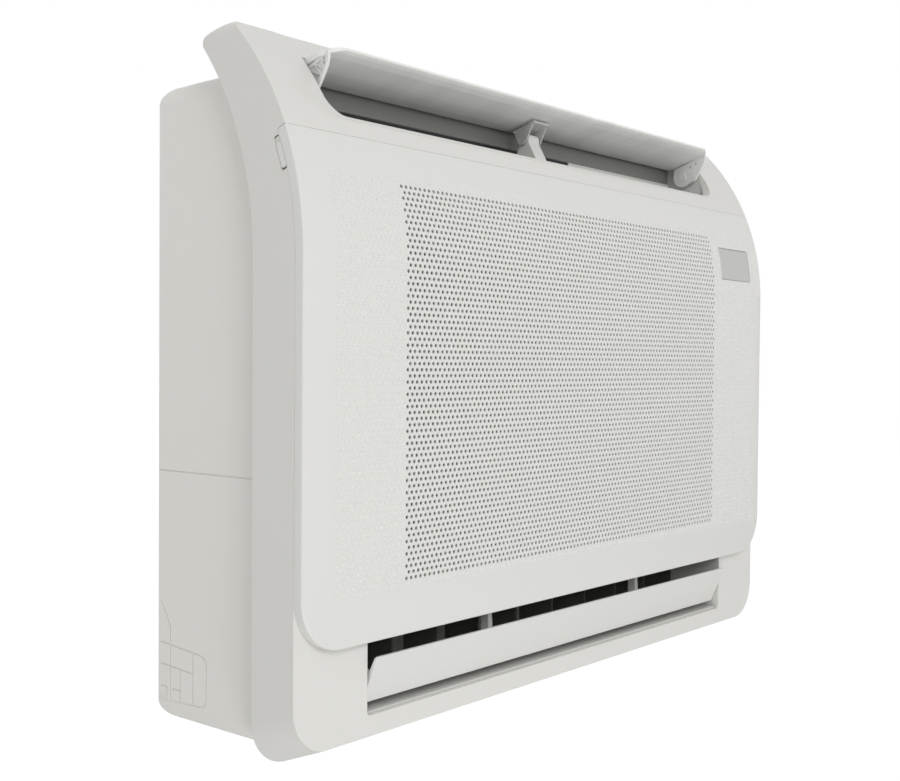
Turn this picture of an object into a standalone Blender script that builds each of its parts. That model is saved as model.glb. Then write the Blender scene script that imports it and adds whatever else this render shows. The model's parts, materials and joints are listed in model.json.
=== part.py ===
# Low wall console indoor unit of a split air conditioner, about 794 x 206 x 621 mm.
# Everything is drawn in the unit's own frame: x to the right, y back from the front
# panel's flat face, z up from the lowest edge. The unit empty carries that frame to
# the wall bracket, whose centre on the wall is the world origin.

from math import asin, cos, pi, radians, sin, sqrt

import bmesh
import bpy
from mathutils import Matrix, Vector

# Overall sizes in metres
unitWidth = 0.794
unitHeight = 0.621
unitDepth = 0.206
bracketHeight = 0.520  # bracket centre above the lowest edge
halfWidth = unitWidth / 2

# Clearances
gap = 0.0003  # between pieces that rest on each other
pinGap = 0.0004  # round a pin that turns in a hole
seamGap = 0.0008  # at the panel's top seam, where the edge swings out

# The bowed front that the panel and the frame share
bowStart = 0.420
bowRadius = 0.270
rearBowRadius = 0.290

# Front frame
frameWall = 0.003
frameFace = 0.0095
frameBandDepth = 0.0595
footFront = 0.0195  # front lower edge
footCorner = 0.040
crownHeight = unitHeight
lipFront = 0.056
lipWindow = halfWidth - 0.035  # half width of the opening towards the casing
lipLow = 0.024
lipHigh = 0.579
screwX = halfWidth - 0.028
screwLow = 0.150
screwHigh = 0.400
intakeHalf = halfWidth - 0.113
intakeLow = 0.146
intakeHigh = 0.505

# Front panel
panelLow = 0.1025
panelHigh = 0.5273
panelDepth = 0.0092
panelWall = 0.0026
panelCorner = 0.045
grilleHalf = intakeHalf - 0.006
grilleLow = 0.152
grilleHigh = 0.487
grilleColumns = 14
grilleRows = 7
grilleBar = 0.012
hingeY = 0.0056
hingeZ = 0.108
hingePinRadius = 0.0016
earInner = halfWidth - 0.061
earWidth = 0.006
lugWidth = 0.003
lugRadius = 0.0026

# Display window and board
displayLeft = halfWidth - 0.1022
displayRight = halfWidth - 0.0280
displayLow = 0.4415
displayHigh = 0.4797
displayFlange = 0.004

# Panel latches
latchLow = 0.4925
latchLength = 0.0275
latchWidth = 0.0060
latchTravel = 0.005
latchSlope = radians(20.5)

# Rear casing
casingHalf = halfWidth - 0.015
casingLow = 0.011
casingHigh = 0.587
casingWall = 0.003
casingBack = 0.004
casingCorner = 0.026
casingLowRound = 0.018
casingHighRound = 0.016
casingFall = 0.005
casingSeam = 0.0006

# Wall bracket
bracketHalf = 0.220
bracketTall = 0.080
bracketThick = 0.0018
hookOffset = 0.1625
hookWidth = 0.025
hookHeight = 0.5465

# Top louver
louverPivotY = 0.075
louverPivotZ = 0.5745
louverOpen = radians(71.8)
louverHalf = halfWidth - 0.0655
louverThick = 0.005
louverRecess = 0.0015
louverLow = 0.5475
louverCorner = 0.022
louverArmRadius = 0.0125
louverPinRadius = 0.003
topMouthHalf = halfWidth - 0.0625
topMouthLow = 0.5462
topMouthHigh = 0.6006
louverEndGap = 0.0006
topMouthCorner = 0.020

# Bottom outlet and its vane
outletHalf = halfWidth - 0.085
outletLow = 0.0374
outletHigh = 0.108
vanePivotY = 0.022
vanePivotZ = 0.074
vaneHalf = outletHalf - 0.0022
vanePinRadius = 0.0025
vaneSupportX = 0.133

# Ducts
ductWall = 0.0025
upperDuctHalf = topMouthHalf + 0.0005
upperDuctLow = 0.500
lowerDuctHigh = 0.140
ductCeiling = 0.1378

# Fan
fanX = 0.0
fanZ = 0.320
wheelRadius = 0.165
wheelEye = 0.131
wheelFront = 0.084
wheelBack = 0.149
bladeCount = 7
shaftRadius = 0.004
motorRadius = 0.052
motorFront = 0.153
motorRear = unitDepth - 0.014
shroudFront = 0.076
shroudThick = 0.0025
bellRadius = 0.126
bellWall = 0.0022
bellFlare = 0.011
guideNarrow = 0.190
guideSheet = 0.002

# Heat exchanger, drain pan and filters
finPitch = 0.0142
plateThick = 0.0012
tubeRadius = 0.0035
tubeRuns = 8
tubeEnd = 0.0825 - halfWidth
coilLeft = 0.097 - halfWidth
coilRight = halfWidth - 0.129
coilFront = 0.038
coilDepth = 0.024
coilHigh = 0.496
panLow = 0.1408
panHigh = 0.165
panFront = 0.034
panBack = 0.0735
panHalf = halfWidth - 0.079
panWall = 0.0025
filterFront = 0.0275
filterThick = 0.004
filterHigh = 0.492
filterLift = 0.012
railFront = 0.0262

# Swing blades
lowerBlades = 9
lowerPitch = 0.062
lowerPivotY = 0.074
lowerCrank = 0.022
lowerBladeHigh = 0.104
upperBlades = 3
upperPitch = 0.160
upperPivotZ = 0.520
upperCrank = 0.016
bladeThick = 0.0018
bladePinRadius = 0.0015
linkThick = 0.003

# Pipes
gasRadius = 0.00635
gasX = 0.0455 - halfWidth
liquidX = 0.057 - halfWidth
liquidRadius = 0.0032
drainRadius = 0.009
spoutLength = 0.013

white = (0.76, 0.76, 0.74)
shade = (0.60, 0.60, 0.58)


# Outlines

def bow(height, behind=0.0):
    """Distance behind the panel plane of the bowed front at a height."""
    rise = max(0.0, height - bowStart)
    return behind + bowRadius - sqrt(bowRadius ** 2 - rise ** 2)


def rear_bow(height, behind=0.0):
    rise = max(0.0, height - bowStart)
    return frameBandDepth + behind + rearBowRadius - sqrt(rearBowRadius ** 2 - rise ** 2)


def climb(curve, low, high, behind, steps):
    """Points (y, z) up a bowed line: its straight foot, then equal steps up the bow."""
    start = max(low, bowStart)
    points = [(curve(low, behind), low)] if low < bowStart else []
    for step in range(steps + 1):
        height = start + (high - start) * step / steps
        points.append((curve(height, behind), height))
    return points


def arc(centre, radius, start, end, steps):
    """Points on a circle from one angle to another, in degrees."""
    points = []
    for step in range(steps + 1):
        angle = radians(start + (end - start) * step / steps)
        points.append((centre[0] + radius * cos(angle), centre[1] + radius * sin(angle)))
    return points


def rounded(half, low, high, lowCorner, highCorner, steps=5):
    """A rectangle standing on (x, z) with its own corner radius below and above."""
    return (
        arc((half - lowCorner, low + lowCorner), lowCorner, -90, 0, steps)
        + arc((half - highCorner, high - highCorner), highCorner, 0, 90, steps)
        + arc((highCorner - half, high - highCorner), highCorner, 90, 180, steps)
        + arc((lowCorner - half, low + lowCorner), lowCorner, 180, 270, steps)
    )


def turned(point, pivot, angle):
    """A (y, z) point turned about a pivot."""
    y, z = point[0] - pivot[0], point[1] - pivot[1]
    return (pivot[0] + y * cos(angle) - z * sin(angle), pivot[1] + y * sin(angle) + z * cos(angle))


# Solids

axisCorner = {
    "X": lambda a, b, t: (t, a, b),
    "Y": lambda a, b, t: (a, t, b),
    "Z": lambda a, b, t: (a, b, t),
}


def prism(bm, outline, axis, low, high):
    """Extrudes an outline along an axis: X takes (y, z), Y takes (x, z), Z takes (x, y)."""
    corner = axisCorner[axis]
    face = bm.faces.new([bm.verts.new(corner(a, b, low)) for a, b in outline])
    grown = bmesh.ops.extrude_face_region(bm, geom=[face])["geom"]
    tops = [item for item in grown if isinstance(item, bmesh.types.BMVert)]
    bmesh.ops.translate(bm, verts=tops, vec=Vector(corner(0, 0, high - low)))


def block(bm, low, high):
    """A box between two corners."""
    outline = [(low[0], low[1]), (high[0], low[1]), (high[0], high[1]), (low[0], high[1])]
    prism(bm, outline, "Z", low[2], high[2])


def rod(bm, axis, place, low, high, radius, sides=12):
    """A round bar along an axis, at a place across it."""
    prism(bm, arc(place, radius, 0, 360 - 360 / sides, sides - 1), axis, low, high)


def washer(bm, axis, place, low, high, inner, outer, sides=16):
    """A ring along an axis."""
    corner = axisCorner[axis]
    rings = []
    for radius, level in ((inner, low), (outer, low), (outer, high), (inner, high)):
        circle = arc(place, radius, 0, 360 - 360 / sides, sides - 1)
        rings.append([bm.verts.new(corner(a, b, level)) for a, b in circle])
    for ring, following in zip(rings, rings[1:] + rings[:1]):
        for side in range(sides):
            after = (side + 1) % sides
            bm.faces.new((ring[side], ring[after], following[after], following[side]))


def loft(bm, rings, axis="Y"):
    """Joins outlines with as many points each, given as (outline, level)."""
    corner = axisCorner[axis]
    loops = [[bm.verts.new(corner(a, b, level)) for a, b in outline] for outline, level in rings]
    for loop, following in zip(loops, loops[1:]):
        for index, vert in enumerate(loop):
            after = (index + 1) % len(loop)
            bm.faces.new((vert, loop[after], following[after], following[index]))
    bm.faces.new(loops[0])
    bm.faces.new(loops[-1])


def finish(name, colour, roughness, metallic):
    material = bpy.data.materials.new(name)
    material.use_nodes = True
    shader = material.node_tree.nodes["Principled BSDF"]
    shader.inputs["Base Color"].default_value = (*colour, 1.0)
    shader.inputs["Roughness"].default_value = roughness
    shader.inputs["Metallic"].default_value = metallic
    material.diffuse_color = (*colour, 1.0)
    return material


def part(name, bm, colour=white, roughness=0.45, metallic=0.0, pivot=(0, 0, 0), holder=None):
    """Makes a named object of a mesh drawn in the unit's frame, with its origin at a pivot."""
    bmesh.ops.recalc_face_normals(bm, faces=bm.faces[:])
    bmesh.ops.translate(bm, verts=bm.verts[:], vec=-Vector(pivot))
    mesh = bpy.data.meshes.new(name)
    bm.to_mesh(mesh)
    bm.free()
    mesh.shade_smooth()
    mesh.set_sharp_from_angle(angle=radians(30))
    made = bpy.data.objects.new(name, mesh)
    made.data.materials.append(finish(name, colour, roughness, metallic))
    bpy.context.scene.collection.objects.link(made)
    made.parent = unit
    made.location = pivot
    if holder:
        made.parent = holder
        made.location = Vector(pivot) - holder.location
    return made


def tool(name, bm):
    """A cutter or a piece to be joined: seen as wire, left out of renders."""
    made = part(name, bm)
    made.hide_render = True
    made.display_type = "WIRE"
    return made


def shape(target, other, operation="DIFFERENCE"):
    modifier = target.modifiers.new(other.name, "BOOLEAN")
    modifier.operation = operation
    modifier.object = other
    return target


def pivot_empty(name, place):
    made = bpy.data.objects.new(name, None)
    bpy.context.scene.collection.objects.link(made)
    made.parent = unit
    made.location = place
    return made


# Shell pieces

def frame_side(wall=0.0):
    """Side outline of the front frame, or of the hollow a wall inside it."""
    face = frameFace + wall
    slope = footFront / (frameBandDepth - frameFace)
    step = panelHigh + seamGap + wall
    lift = wall * sqrt(1 + slope ** 2)
    front = climb(bow, footFront - wall * slope + lift, step, face, 5)
    brow = climb(bow, step, crownHeight - 0.0075 - wall * 0.6, wall, 6)
    crown = [
        (0.0850 + wall * 0.7, crownHeight - 0.0030 - wall),
        (0.0925, crownHeight - wall * 1.1),
        (0.0970, crownHeight - 0.0008 - wall * 1.1),
        (0.1200 - wall * 0.5, crownHeight - 0.0088 - wall),
        (0.1245 - wall, crownHeight - 0.0115 - wall),
    ]
    rear = climb(rear_bow, 0.0 + lift, crownHeight - 0.018 - wall * 0.7, -wall, 7)
    return front + brow + crown + rear[::-1]


def frame_loft(bm, wall=0.0):
    """Front view of the frame, lofted back along its sloping underside."""
    slope = footFront / (frameBandDepth - frameFace)
    lift = wall * sqrt(1 + slope ** 2)
    ahead = 0.0145
    half = unitWidth / 2 - wall
    low = footCorner - wall
    top = crownHeight + 0.0004 - wall
    rings = [
        (rounded(half, footFront + ahead * slope + lift, top, low, 0.012 - wall), frameFace - ahead),
        (rounded(half, lift, top, low, 0.012 - wall), frameBandDepth),
        (rounded(half, lift, top, low, 0.012 - wall), unitDepth),
    ]
    loft(bm, rings)


def front_frame():
    bm = bmesh.new()
    prism(bm, frame_side(), "X", -unitWidth, unitWidth)
    frame = part("front_frame", bm, white, 0.42)
    bm = bmesh.new()
    frame_loft(bm)
    shape(frame, tool("frame_front_view", bm), "INTERSECT")

    bm = bmesh.new()
    prism(bm, frame_side(frameWall), "X", -unitWidth, unitWidth)
    hollow = tool("frame_hollow", bm)
    bm = bmesh.new()
    frame_loft(bm, frameWall)
    shape(hollow, tool("frame_hollow_front_view", bm), "INTERSECT")
    shape(frame, hollow)

    bm = bmesh.new()
    prism(bm, rounded(lipWindow, lipLow, lipHigh, 0.020, 0.006, 3), "Y", lipFront, 0.150)
    shape(frame, tool("frame_rear_window", bm))

    bm = bmesh.new()
    front, back = frameFace - 0.004, frameFace + 0.0225
    block(bm, (-intakeHalf, front, intakeLow), (intakeHalf, back, intakeHigh))
    thin = frameFace + frameWall + 0.002
    block(bm, (-outletHalf, front, outletLow), (outletHalf, thin, outletHigh))
    inset = displayFlange + 0.0005
    block(
        bm,
        (displayLeft + inset, front, displayLow + inset),
        (displayRight - inset, back, displayHigh - inset),
    )
    shape(frame, tool("frame_windows", bm))

    bm = bmesh.new()
    end = asin((topMouthHigh - bowStart) / bowRadius)
    outside = (bowRadius - (bowRadius + 0.006) * cos(end), bowStart + (bowRadius + 0.006) * sin(end))
    inside = (bowRadius - (bowRadius - 0.012) * cos(end), bowStart + (bowRadius - 0.012) * sin(end))
    mouth = [(0.012, topMouthLow), (0.050, topMouthLow), inside, outside, (0.012, outside[1])]
    prism(bm, mouth, "X", -topMouthHalf, topMouthHalf)
    corners = [
        edge
        for edge in bm.edges
        if all(abs(v.co.z - topMouthLow) < 1e-5 for v in edge.verts)
        and abs(edge.verts[0].co.x - edge.verts[1].co.x) < 1e-5
    ]
    bmesh.ops.bevel(bm, geom=corners, offset=topMouthCorner, segments=4, profile=0.5, affect="EDGES")
    shape(frame, tool("frame_top_mouth", bm))

    lugs = bmesh.new()
    lug_outline = arc((hingeY, hingeZ), lugRadius, 90, 330, 8)
    lug_outline += [(frameFace + 0.001, hingeZ - lugRadius / 2), (frameFace + 0.001, hingeZ + lugRadius)]
    notches = bmesh.new()
    holes = bmesh.new()
    for side in (-1, 1):
        inner = side * (earInner + earWidth + 0.001)
        outer = inner + side * lugWidth
        prism(lugs, lug_outline, "X", min(inner, outer), max(inner, outer))
        rod(holes, "X", (hingeY, hingeZ), min(inner, outer) - 0.002, max(inner, outer) + 0.002,
            hingePinRadius + pinGap, 8)
        edge = side * unitWidth / 2
        x_low, x_high = sorted((edge - side * 0.0105, edge + side * 0.005))
        prism(notches, latch_outline(0.0005, latchTravel), "X", x_low, x_high)
        for height in (screwLow, screwHigh):
            rod(holes, "Y", (side * screwX, height), 0.050, 0.065, 0.0022, 8)
    shape(frame, tool("frame_hinge_lugs", lugs), "UNION")
    shape(frame, tool("frame_latch_notches", notches))
    shape(frame, tool("frame_small_holes", holes))
    return frame


def latch_outline(grow=0.0, travel=0.0, extra=0.0):
    """Side outline of a latch bar beside the panel's rear edge."""
    foot = (bow(latchLow, frameFace + 0.0007 + latchWidth / 2), latchLow)
    half = latchWidth / 2 + grow
    up = Vector((sin(latchSlope), cos(latchSlope)))
    across = Vector((cos(latchSlope), -sin(latchSlope)))
    low = Vector(foot) - up * (grow + extra)
    high = Vector(foot) + up * (latchLength + travel + grow + extra)
    return [tuple(p) for p in (low - across * half, low + across * half, high + across * half, high - across * half)]


def front_panel():
    """Perforated intake panel: a skin with a rim, hinged along its lower edge."""
    holder = pivot_empty("panel_hinge_axis", (0, hingeY, hingeZ))
    pivot = (0, hingeY, hingeZ)
    chamfer = 0.0050
    outline = [(0.0022, panelLow), (0.0006, panelLow + 0.0011), (0.0, panelLow + 0.0035)]
    outline += climb(bow, panelLow + 0.008, panelHigh, 0.0, 6)
    outline += climb(bow, panelLow + chamfer, panelHigh, panelDepth, 6)[::-1]
    outline += [(panelDepth - chamfer, panelLow)]
    bm = bmesh.new()
    prism(bm, outline, "X", -unitWidth / 2 - 0.01, unitWidth / 2 + 0.01)
    panel = part("front_panel", bm, white, 0.40, pivot=pivot, holder=holder)
    bm = bmesh.new()
    prism(bm, rounded(unitWidth / 2, panelLow, panelHigh + 0.0003, panelCorner, 0.004, 6), "Y", -0.02, 0.06)
    shape(panel, tool("panel_front_view", bm), "INTERSECT")

    bm = bmesh.new()
    hollow = climb(bow, panelLow + panelWall, panelHigh - panelWall, panelWall, 6)
    hollow += climb(bow, panelLow + panelWall, panelHigh - panelWall, panelDepth + 0.005, 6)[::-1]
    prism(bm, hollow, "X", -unitWidth, unitWidth)
    inside = tool("panel_hollow", bm)
    bm = bmesh.new()
    prism(
        bm,
        rounded(unitWidth / 2 - panelWall, panelLow + panelWall - 0.0002, panelHigh,
                panelCorner - panelWall, 0.002, 6),
        "Y", -0.02, 0.08,
    )
    shape(inside, tool("panel_hollow_front_view", bm), "INTERSECT")
    shape(panel, inside)

    bm = bmesh.new()
    pitch_x = 2 * grilleHalf / grilleColumns
    pitch_z = (grilleHigh - grilleLow) / grilleRows
    for column in range(grilleColumns):
        x = -grilleHalf + pitch_x * column + grilleBar / 2
        for row in range(grilleRows):
            z = grilleLow + pitch_z * row + grilleBar / 2
            block(bm, (x, -0.01, z), (x + pitch_x - grilleBar, 0.03, z + pitch_z - grilleBar))
    block(
        bm,
        (displayLeft - gap, -0.01, displayLow - gap),
        (displayRight + gap, 0.03, displayHigh + gap),
    )
    shape(panel, tool("panel_openings", bm))

    ears = bmesh.new()
    pins = bmesh.new()
    ear = arc((hingeY, hingeZ), 0.0032, -90, 90, 4)
    ear += [(panelWall - 0.001, hingeZ + 0.0032), (panelWall - 0.001, hingeZ - 0.0032)]
    for side in (-1, 1):
        low, high = sorted((side * earInner, side * (earInner + earWidth)))
        prism(ears, ear, "X", low, high)
        far = side * (earInner + earWidth + 0.001 + lugWidth)
        low, high = sorted((side * (earInner + 0.001), far))
        rod(pins, "X", (hingeY, hingeZ), low, high, hingePinRadius, 8)
    shape(panel, tool("panel_ears", ears), "UNION")
    shape(panel, tool("panel_hinge_pins", pins), "UNION")

    bm = bmesh.new()
    lens = climb(bow, displayLow, displayHigh, 0.0003, 3)
    lens += climb(bow, displayLow, displayHigh, panelWall + 0.0015, 3)[::-1]
    prism(bm, lens, "X", displayLeft, displayRight)
    window = part("display_window", bm, (0.55, 0.56, 0.54), 0.15, pivot=pivot, holder=holder)
    bm = bmesh.new()
    low, high = displayLow - displayFlange, displayHigh + displayFlange
    flange = climb(bow, low, high, panelWall + gap, 3)
    flange += climb(bow, low, high, panelWall + gap + 0.0015, 3)[::-1]
    prism(bm, flange, "X", displayLeft - displayFlange, displayRight + displayFlange)
    shape(window, tool("display_window_flange", bm), "UNION")


def panel_latches():
    """Sliding catches in the frame's sides, each with a guide flange behind the wall."""
    for name, side in (("panel_latch_left", -1), ("panel_latch_right", 1)):
        edge = unitWidth / 2
        bm = bmesh.new()
        low, high = sorted((side * (edge - frameWall - gap - 0.002), side * edge))
        prism(bm, latch_outline(), "X", low, high)
        pivot = (side * edge, bow(latchLow, frameFace), latchLow)
        latch = part(name, bm, white, 0.38, pivot=pivot)
        bm = bmesh.new()
        low, high = sorted((side * (edge - frameWall - gap - 0.0028), side * (edge - frameWall - gap)))
        foot = Vector((bow(latchLow, frameFace + 0.0007 + latchWidth / 2), latchLow))
        up = Vector((sin(latchSlope), cos(latchSlope)))
        across = Vector((cos(latchSlope), -sin(latchSlope)))
        near = foot - up * 0.002
        far = foot + up * (latchLength + 0.002)
        flange = [near, near + across * 0.0075, far + across * 0.0075, far]
        prism(bm, [tuple(p) for p in flange], "X", low, high)
        shape(latch, tool(name + "_guide", bm), "UNION")


def casing_side(wall=0.0, behind=0.0):
    """Side outline of the casing, or of the hollow a wall inside it and clear of its back."""
    low, high, back = casingLow + wall, casingHigh - wall, unitDepth - behind
    lowRound, highRound = casingLowRound - wall, casingHighRound - wall
    outline = [(0.030, low)] + arc((back - lowRound, low + lowRound), lowRound, -90, 0, 4)
    outline += arc((back - highRound, high - casingFall - highRound), highRound, 0, 90, 4)
    return outline + [(0.110, high), (0.030, high)]


def rear_casing():
    bm = bmesh.new()
    prism(bm, casing_side(), "X", -casingHalf - 0.01, casingHalf + 0.01)
    casing = part("rear_casing", bm, shade, 0.45)
    bm = bmesh.new()
    prism(bm, rounded(casingHalf, casingLow, casingHigh, casingCorner, casingCorner), "Y", 0.020, 0.230)
    shape(casing, tool("casing_front_view", bm), "INTERSECT")

    bm = bmesh.new()
    prism(bm, casing_side(casingWall, casingBack), "X", casingWall - casingHalf, casingHalf - casingWall)
    inside = tool("casing_hollow", bm)
    bm = bmesh.new()
    inner = rounded(casingHalf - casingWall, casingLow + casingWall, casingHigh - casingWall,
                    casingCorner - casingWall, casingCorner - casingWall)
    prism(bm, inner, "Y", 0.010, 0.230)
    shape(inside, tool("casing_hollow_front_view", bm), "INTERSECT")
    shape(casing, inside)

    bm = bmesh.new()
    front = climb(rear_bow, -0.020, crownHeight - 0.010, casingSeam, 8)
    prism(bm, front + [(-0.02, crownHeight + 0.01), (-0.02, -0.020)], "X", -unitWidth, unitWidth)
    shape(casing, tool("casing_front_edge", bm))

    bm = bmesh.new()
    margin = 0.0006
    low, high = bracketHeight - bracketTall / 2 - margin, bracketHeight + bracketTall / 2 + margin
    pocket = unitDepth - bracketThick - gap
    block(bm, (-bracketHalf - margin, pocket, low), (bracketHalf + margin, unitDepth + 0.01, high))
    slots = bmesh.new()
    for side in (-1, 1):
        centre = side * hookOffset
        half = hookWidth / 2 + 0.001
        block(slots, (centre - half, unitDepth - 0.011, hookHeight - 0.016), (centre + half, unitDepth - 0.0005, hookHeight + 0.0018))
    shape(casing, tool("casing_bracket_pocket", bm))
    shape(casing, tool("casing_hook_slots", slots))

    holes = bmesh.new()
    start = frameBandDepth + casingSeam + 0.0002
    for side in (-1, 1):
        for height in (screwLow, screwHigh):
            rod(holes, "Y", (side * screwX, height), start - 0.002, 0.078, 0.0022, 8)
    for index, height in enumerate((screwLow, screwHigh)):
        for side in (-1, 1):
            rib = bmesh.new()
            rod(rib, "Y", (side * screwX, height), start, 0.085, 0.0055, 10)
            shape(casing, tool(f"casing_boss_{index}_{side}", rib), "UNION")
            rib = bmesh.new()
            x_low, x_high = sorted((side * (casingHalf - 0.0115), side * (casingHalf - 0.001)))
            block(rib, (x_low, start + 0.0005, height - 0.002), (x_high, 0.0845, height + 0.002))
            shape(casing, tool(f"casing_rib_{index}_{side}", rib), "UNION")
    shape(casing, tool("casing_screw_holes", holes))
    return casing


def frame_screws():
    """Pan head screws through the frame's rear lip into the casing's bosses."""
    lip = frameBandDepth - frameWall
    profile = [(0.0036, lip - 0.0026), (0.0036, lip - gap), (0.0017, lip - gap), (0.0017, 0.074)]
    for across, side in (("left", -1), ("right", 1)):
        for along, height in (("low", screwLow), ("high", screwHigh)):
            bm = bmesh.new()
            turned_solid(bm, (side * screwX, height), profile, 10)
            part(f"frame_screw_{across}_{along}", bm, (0.55, 0.55, 0.55), 0.3, 1.0)


def turned_solid(bm, place, profile, sides, axis="Y", ring=False):
    """A solid of revolution through (radius, level) points, capped at both ends or a closed ring."""
    corner = axisCorner[axis]
    rings = []
    for radius, level in profile:
        circle = arc(place, radius, 0, 360 - 360 / sides, sides - 1)
        rings.append([bm.verts.new(corner(a, b, level)) for a, b in circle])
    for circle, following in zip(rings, rings[1:] + (rings[:1] if ring else [])):
        for side in range(sides):
            after = (side + 1) % sides
            bm.faces.new((circle[side], circle[after], following[after], following[side]))
    if not ring:
        bm.faces.new(rings[0])
        bm.faces.new(rings[-1])


def wall_bracket():
    """Steel plate screwed to the wall, with two upturned hooks through the casing's back."""
    low, high = bracketHeight - bracketTall / 2, bracketHeight + bracketTall / 2
    face = unitDepth - bracketThick
    bm = bmesh.new()
    block(bm, (-bracketHalf, face, low), (bracketHalf, unitDepth, high))
    bracket = part("wall_bracket", bm, (0.62, 0.63, 0.64), 0.35, 1.0)
    reach = unitDepth - 0.015
    for number, side in enumerate((-1, 1)):
        bm = bmesh.new()
        hook = [
            (reach, hookHeight),
            (face + 0.0008, hookHeight),
            (face + 0.0008, hookHeight + 0.0015),
            (reach + 0.0018, hookHeight + 0.0015),
            (reach + 0.0018, hookHeight + 0.016),
            (reach, hookHeight + 0.016),
        ]
        centre = side * hookOffset
        prism(bm, hook, "X", centre - hookWidth / 2, centre + hookWidth / 2)
        shape(bracket, tool(f"bracket_hook_{number}", bm), "UNION")
    bm = bmesh.new()
    for x in (-0.190, -0.095, 0.095, 0.190):
        rod(bm, "Y", (x, bracketHeight - 0.020), face - 0.002, unitDepth + 0.002, 0.003, 8)
    shape(bracket, tool("bracket_screw_holes", bm))


# Top louver

def louver_blade():
    """Closed louver outline on the bow, turned open about its pivot."""
    pivot = (louverPivotY, louverPivotZ)
    centre = (bowRadius, bowStart)
    outer = bowRadius - louverRecess
    start = asin((louverLow - bowStart) / outer)
    end = asin((topMouthHigh - bowStart) / bowRadius) - louverEndGap / outer
    steps = 5
    outline = []
    for step in range(steps + 1):
        angle = start + (end - start) * step / steps
        outline.append((centre[0] - outer * cos(angle), centre[1] + outer * sin(angle)))
    for step in range(steps, -1, -1):
        angle = start + (end - start) * step / steps
        inner = outer - louverThick * (0.45 if step in (0, steps) else 1.0)
        outline.append((centre[0] - inner * cos(angle), centre[1] + inner * sin(angle)))
    return [turned(point, pivot, -louverOpen) for point in outline]


def top_louver():
    pivot2 = (louverPivotY, louverPivotZ)
    pivot = (0, louverPivotY, louverPivotZ)
    outline = louver_blade()
    bm = bmesh.new()
    prism(bm, outline, "X", -louverHalf, louverHalf)
    lip = (Vector(outline[0]) + Vector(outline[-1])) / 2
    corners = [
        edge
        for edge in bm.edges
        if abs(edge.verts[0].co.x - edge.verts[1].co.x) < 1e-6
        and all((Vector((v.co.y, v.co.z)) - lip).length < louverThick for v in edge.verts)
    ]
    bmesh.ops.bevel(bm, geom=corners, offset=louverCorner, segments=4, profile=0.5, affect="EDGES")
    louver = part("top_louver", bm, white, 0.40, pivot=pivot)

    arm = [(0.0440, 0.6022), (0.0428, 0.5965), (0.0452, 0.5885), (0.0500, 0.5800), (0.0570, 0.5690)]
    arm += arc(pivot2, louverArmRadius, 225, 372, 6)
    arm += [(0.0870, 0.5850), (0.0600, 0.5945)]
    plates = bmesh.new()
    stubs = bmesh.new()
    for side in (-1, 1):
        low, high = sorted((side * (louverHalf - 0.0053), side * (louverHalf - 0.0023)))
        prism(plates, arm, "X", low, high)
        low, high = sorted((side * (louverHalf - 0.0043), side * (upperDuctHalf + ductWall - 0.0002)))
        rod(stubs, "X", pivot2, low, high, louverPinRadius, 10)
    shape(louver, tool("louver_arms", plates), "UNION")
    shape(louver, tool("louver_stubs", stubs), "UNION")

    ear = [(0.0600, 0.5925)] + arc(pivot2, 0.0060, 200, 340, 4) + [(0.0850, 0.5832)]
    saddle_base = [(0.0590, 0.5925), (0.0592, 0.5900), (0.0848, 0.5815), (0.0850, 0.5838)]
    bm = bmesh.new()
    prism(bm, saddle_base, "X", -0.014, 0.014)
    saddle = part("louver_saddle", bm, (0.80, 0.81, 0.80), 0.15, pivot=pivot)
    for number, side in enumerate((-1, 1)):
        bm = bmesh.new()
        low, high = sorted((side * 0.0110, side * 0.0136))
        prism(bm, ear, "X", low, high)
        shape(saddle, tool(f"saddle_ear_{number}", bm), "UNION")
    bm = bmesh.new()
    rod(bm, "X", pivot2, -0.012, 0.012, louverPinRadius - 0.0005, 8)
    shape(saddle, tool("saddle_pin", bm), "UNION")


def louver_mid_support():
    """Bracket seated on the upper duct's sloping front wall that carries the louver's middle."""
    pivot2 = (louverPivotY, louverPivotZ)
    outline = [(0.0385, 0.5441), (0.0434, 0.5372), (0.0870, 0.5400), (0.0860, 0.5560)]
    outline += arc(pivot2, 0.0065, -20, 200, 6)
    outline += [(0.0600, 0.5560), (0.0560, 0.5480), (0.0405, 0.5450)]
    bm = bmesh.new()
    prism(bm, outline, "X", -0.0095, 0.0095)
    support = part("louver_mid_support", bm, white, 0.4)
    bm = bmesh.new()
    rod(bm, "X", pivot2, -0.02, 0.02, louverPinRadius - 0.0005 + pinGap, 10)
    shape(support, tool("mid_support_hole", bm))


# Ducts

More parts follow.
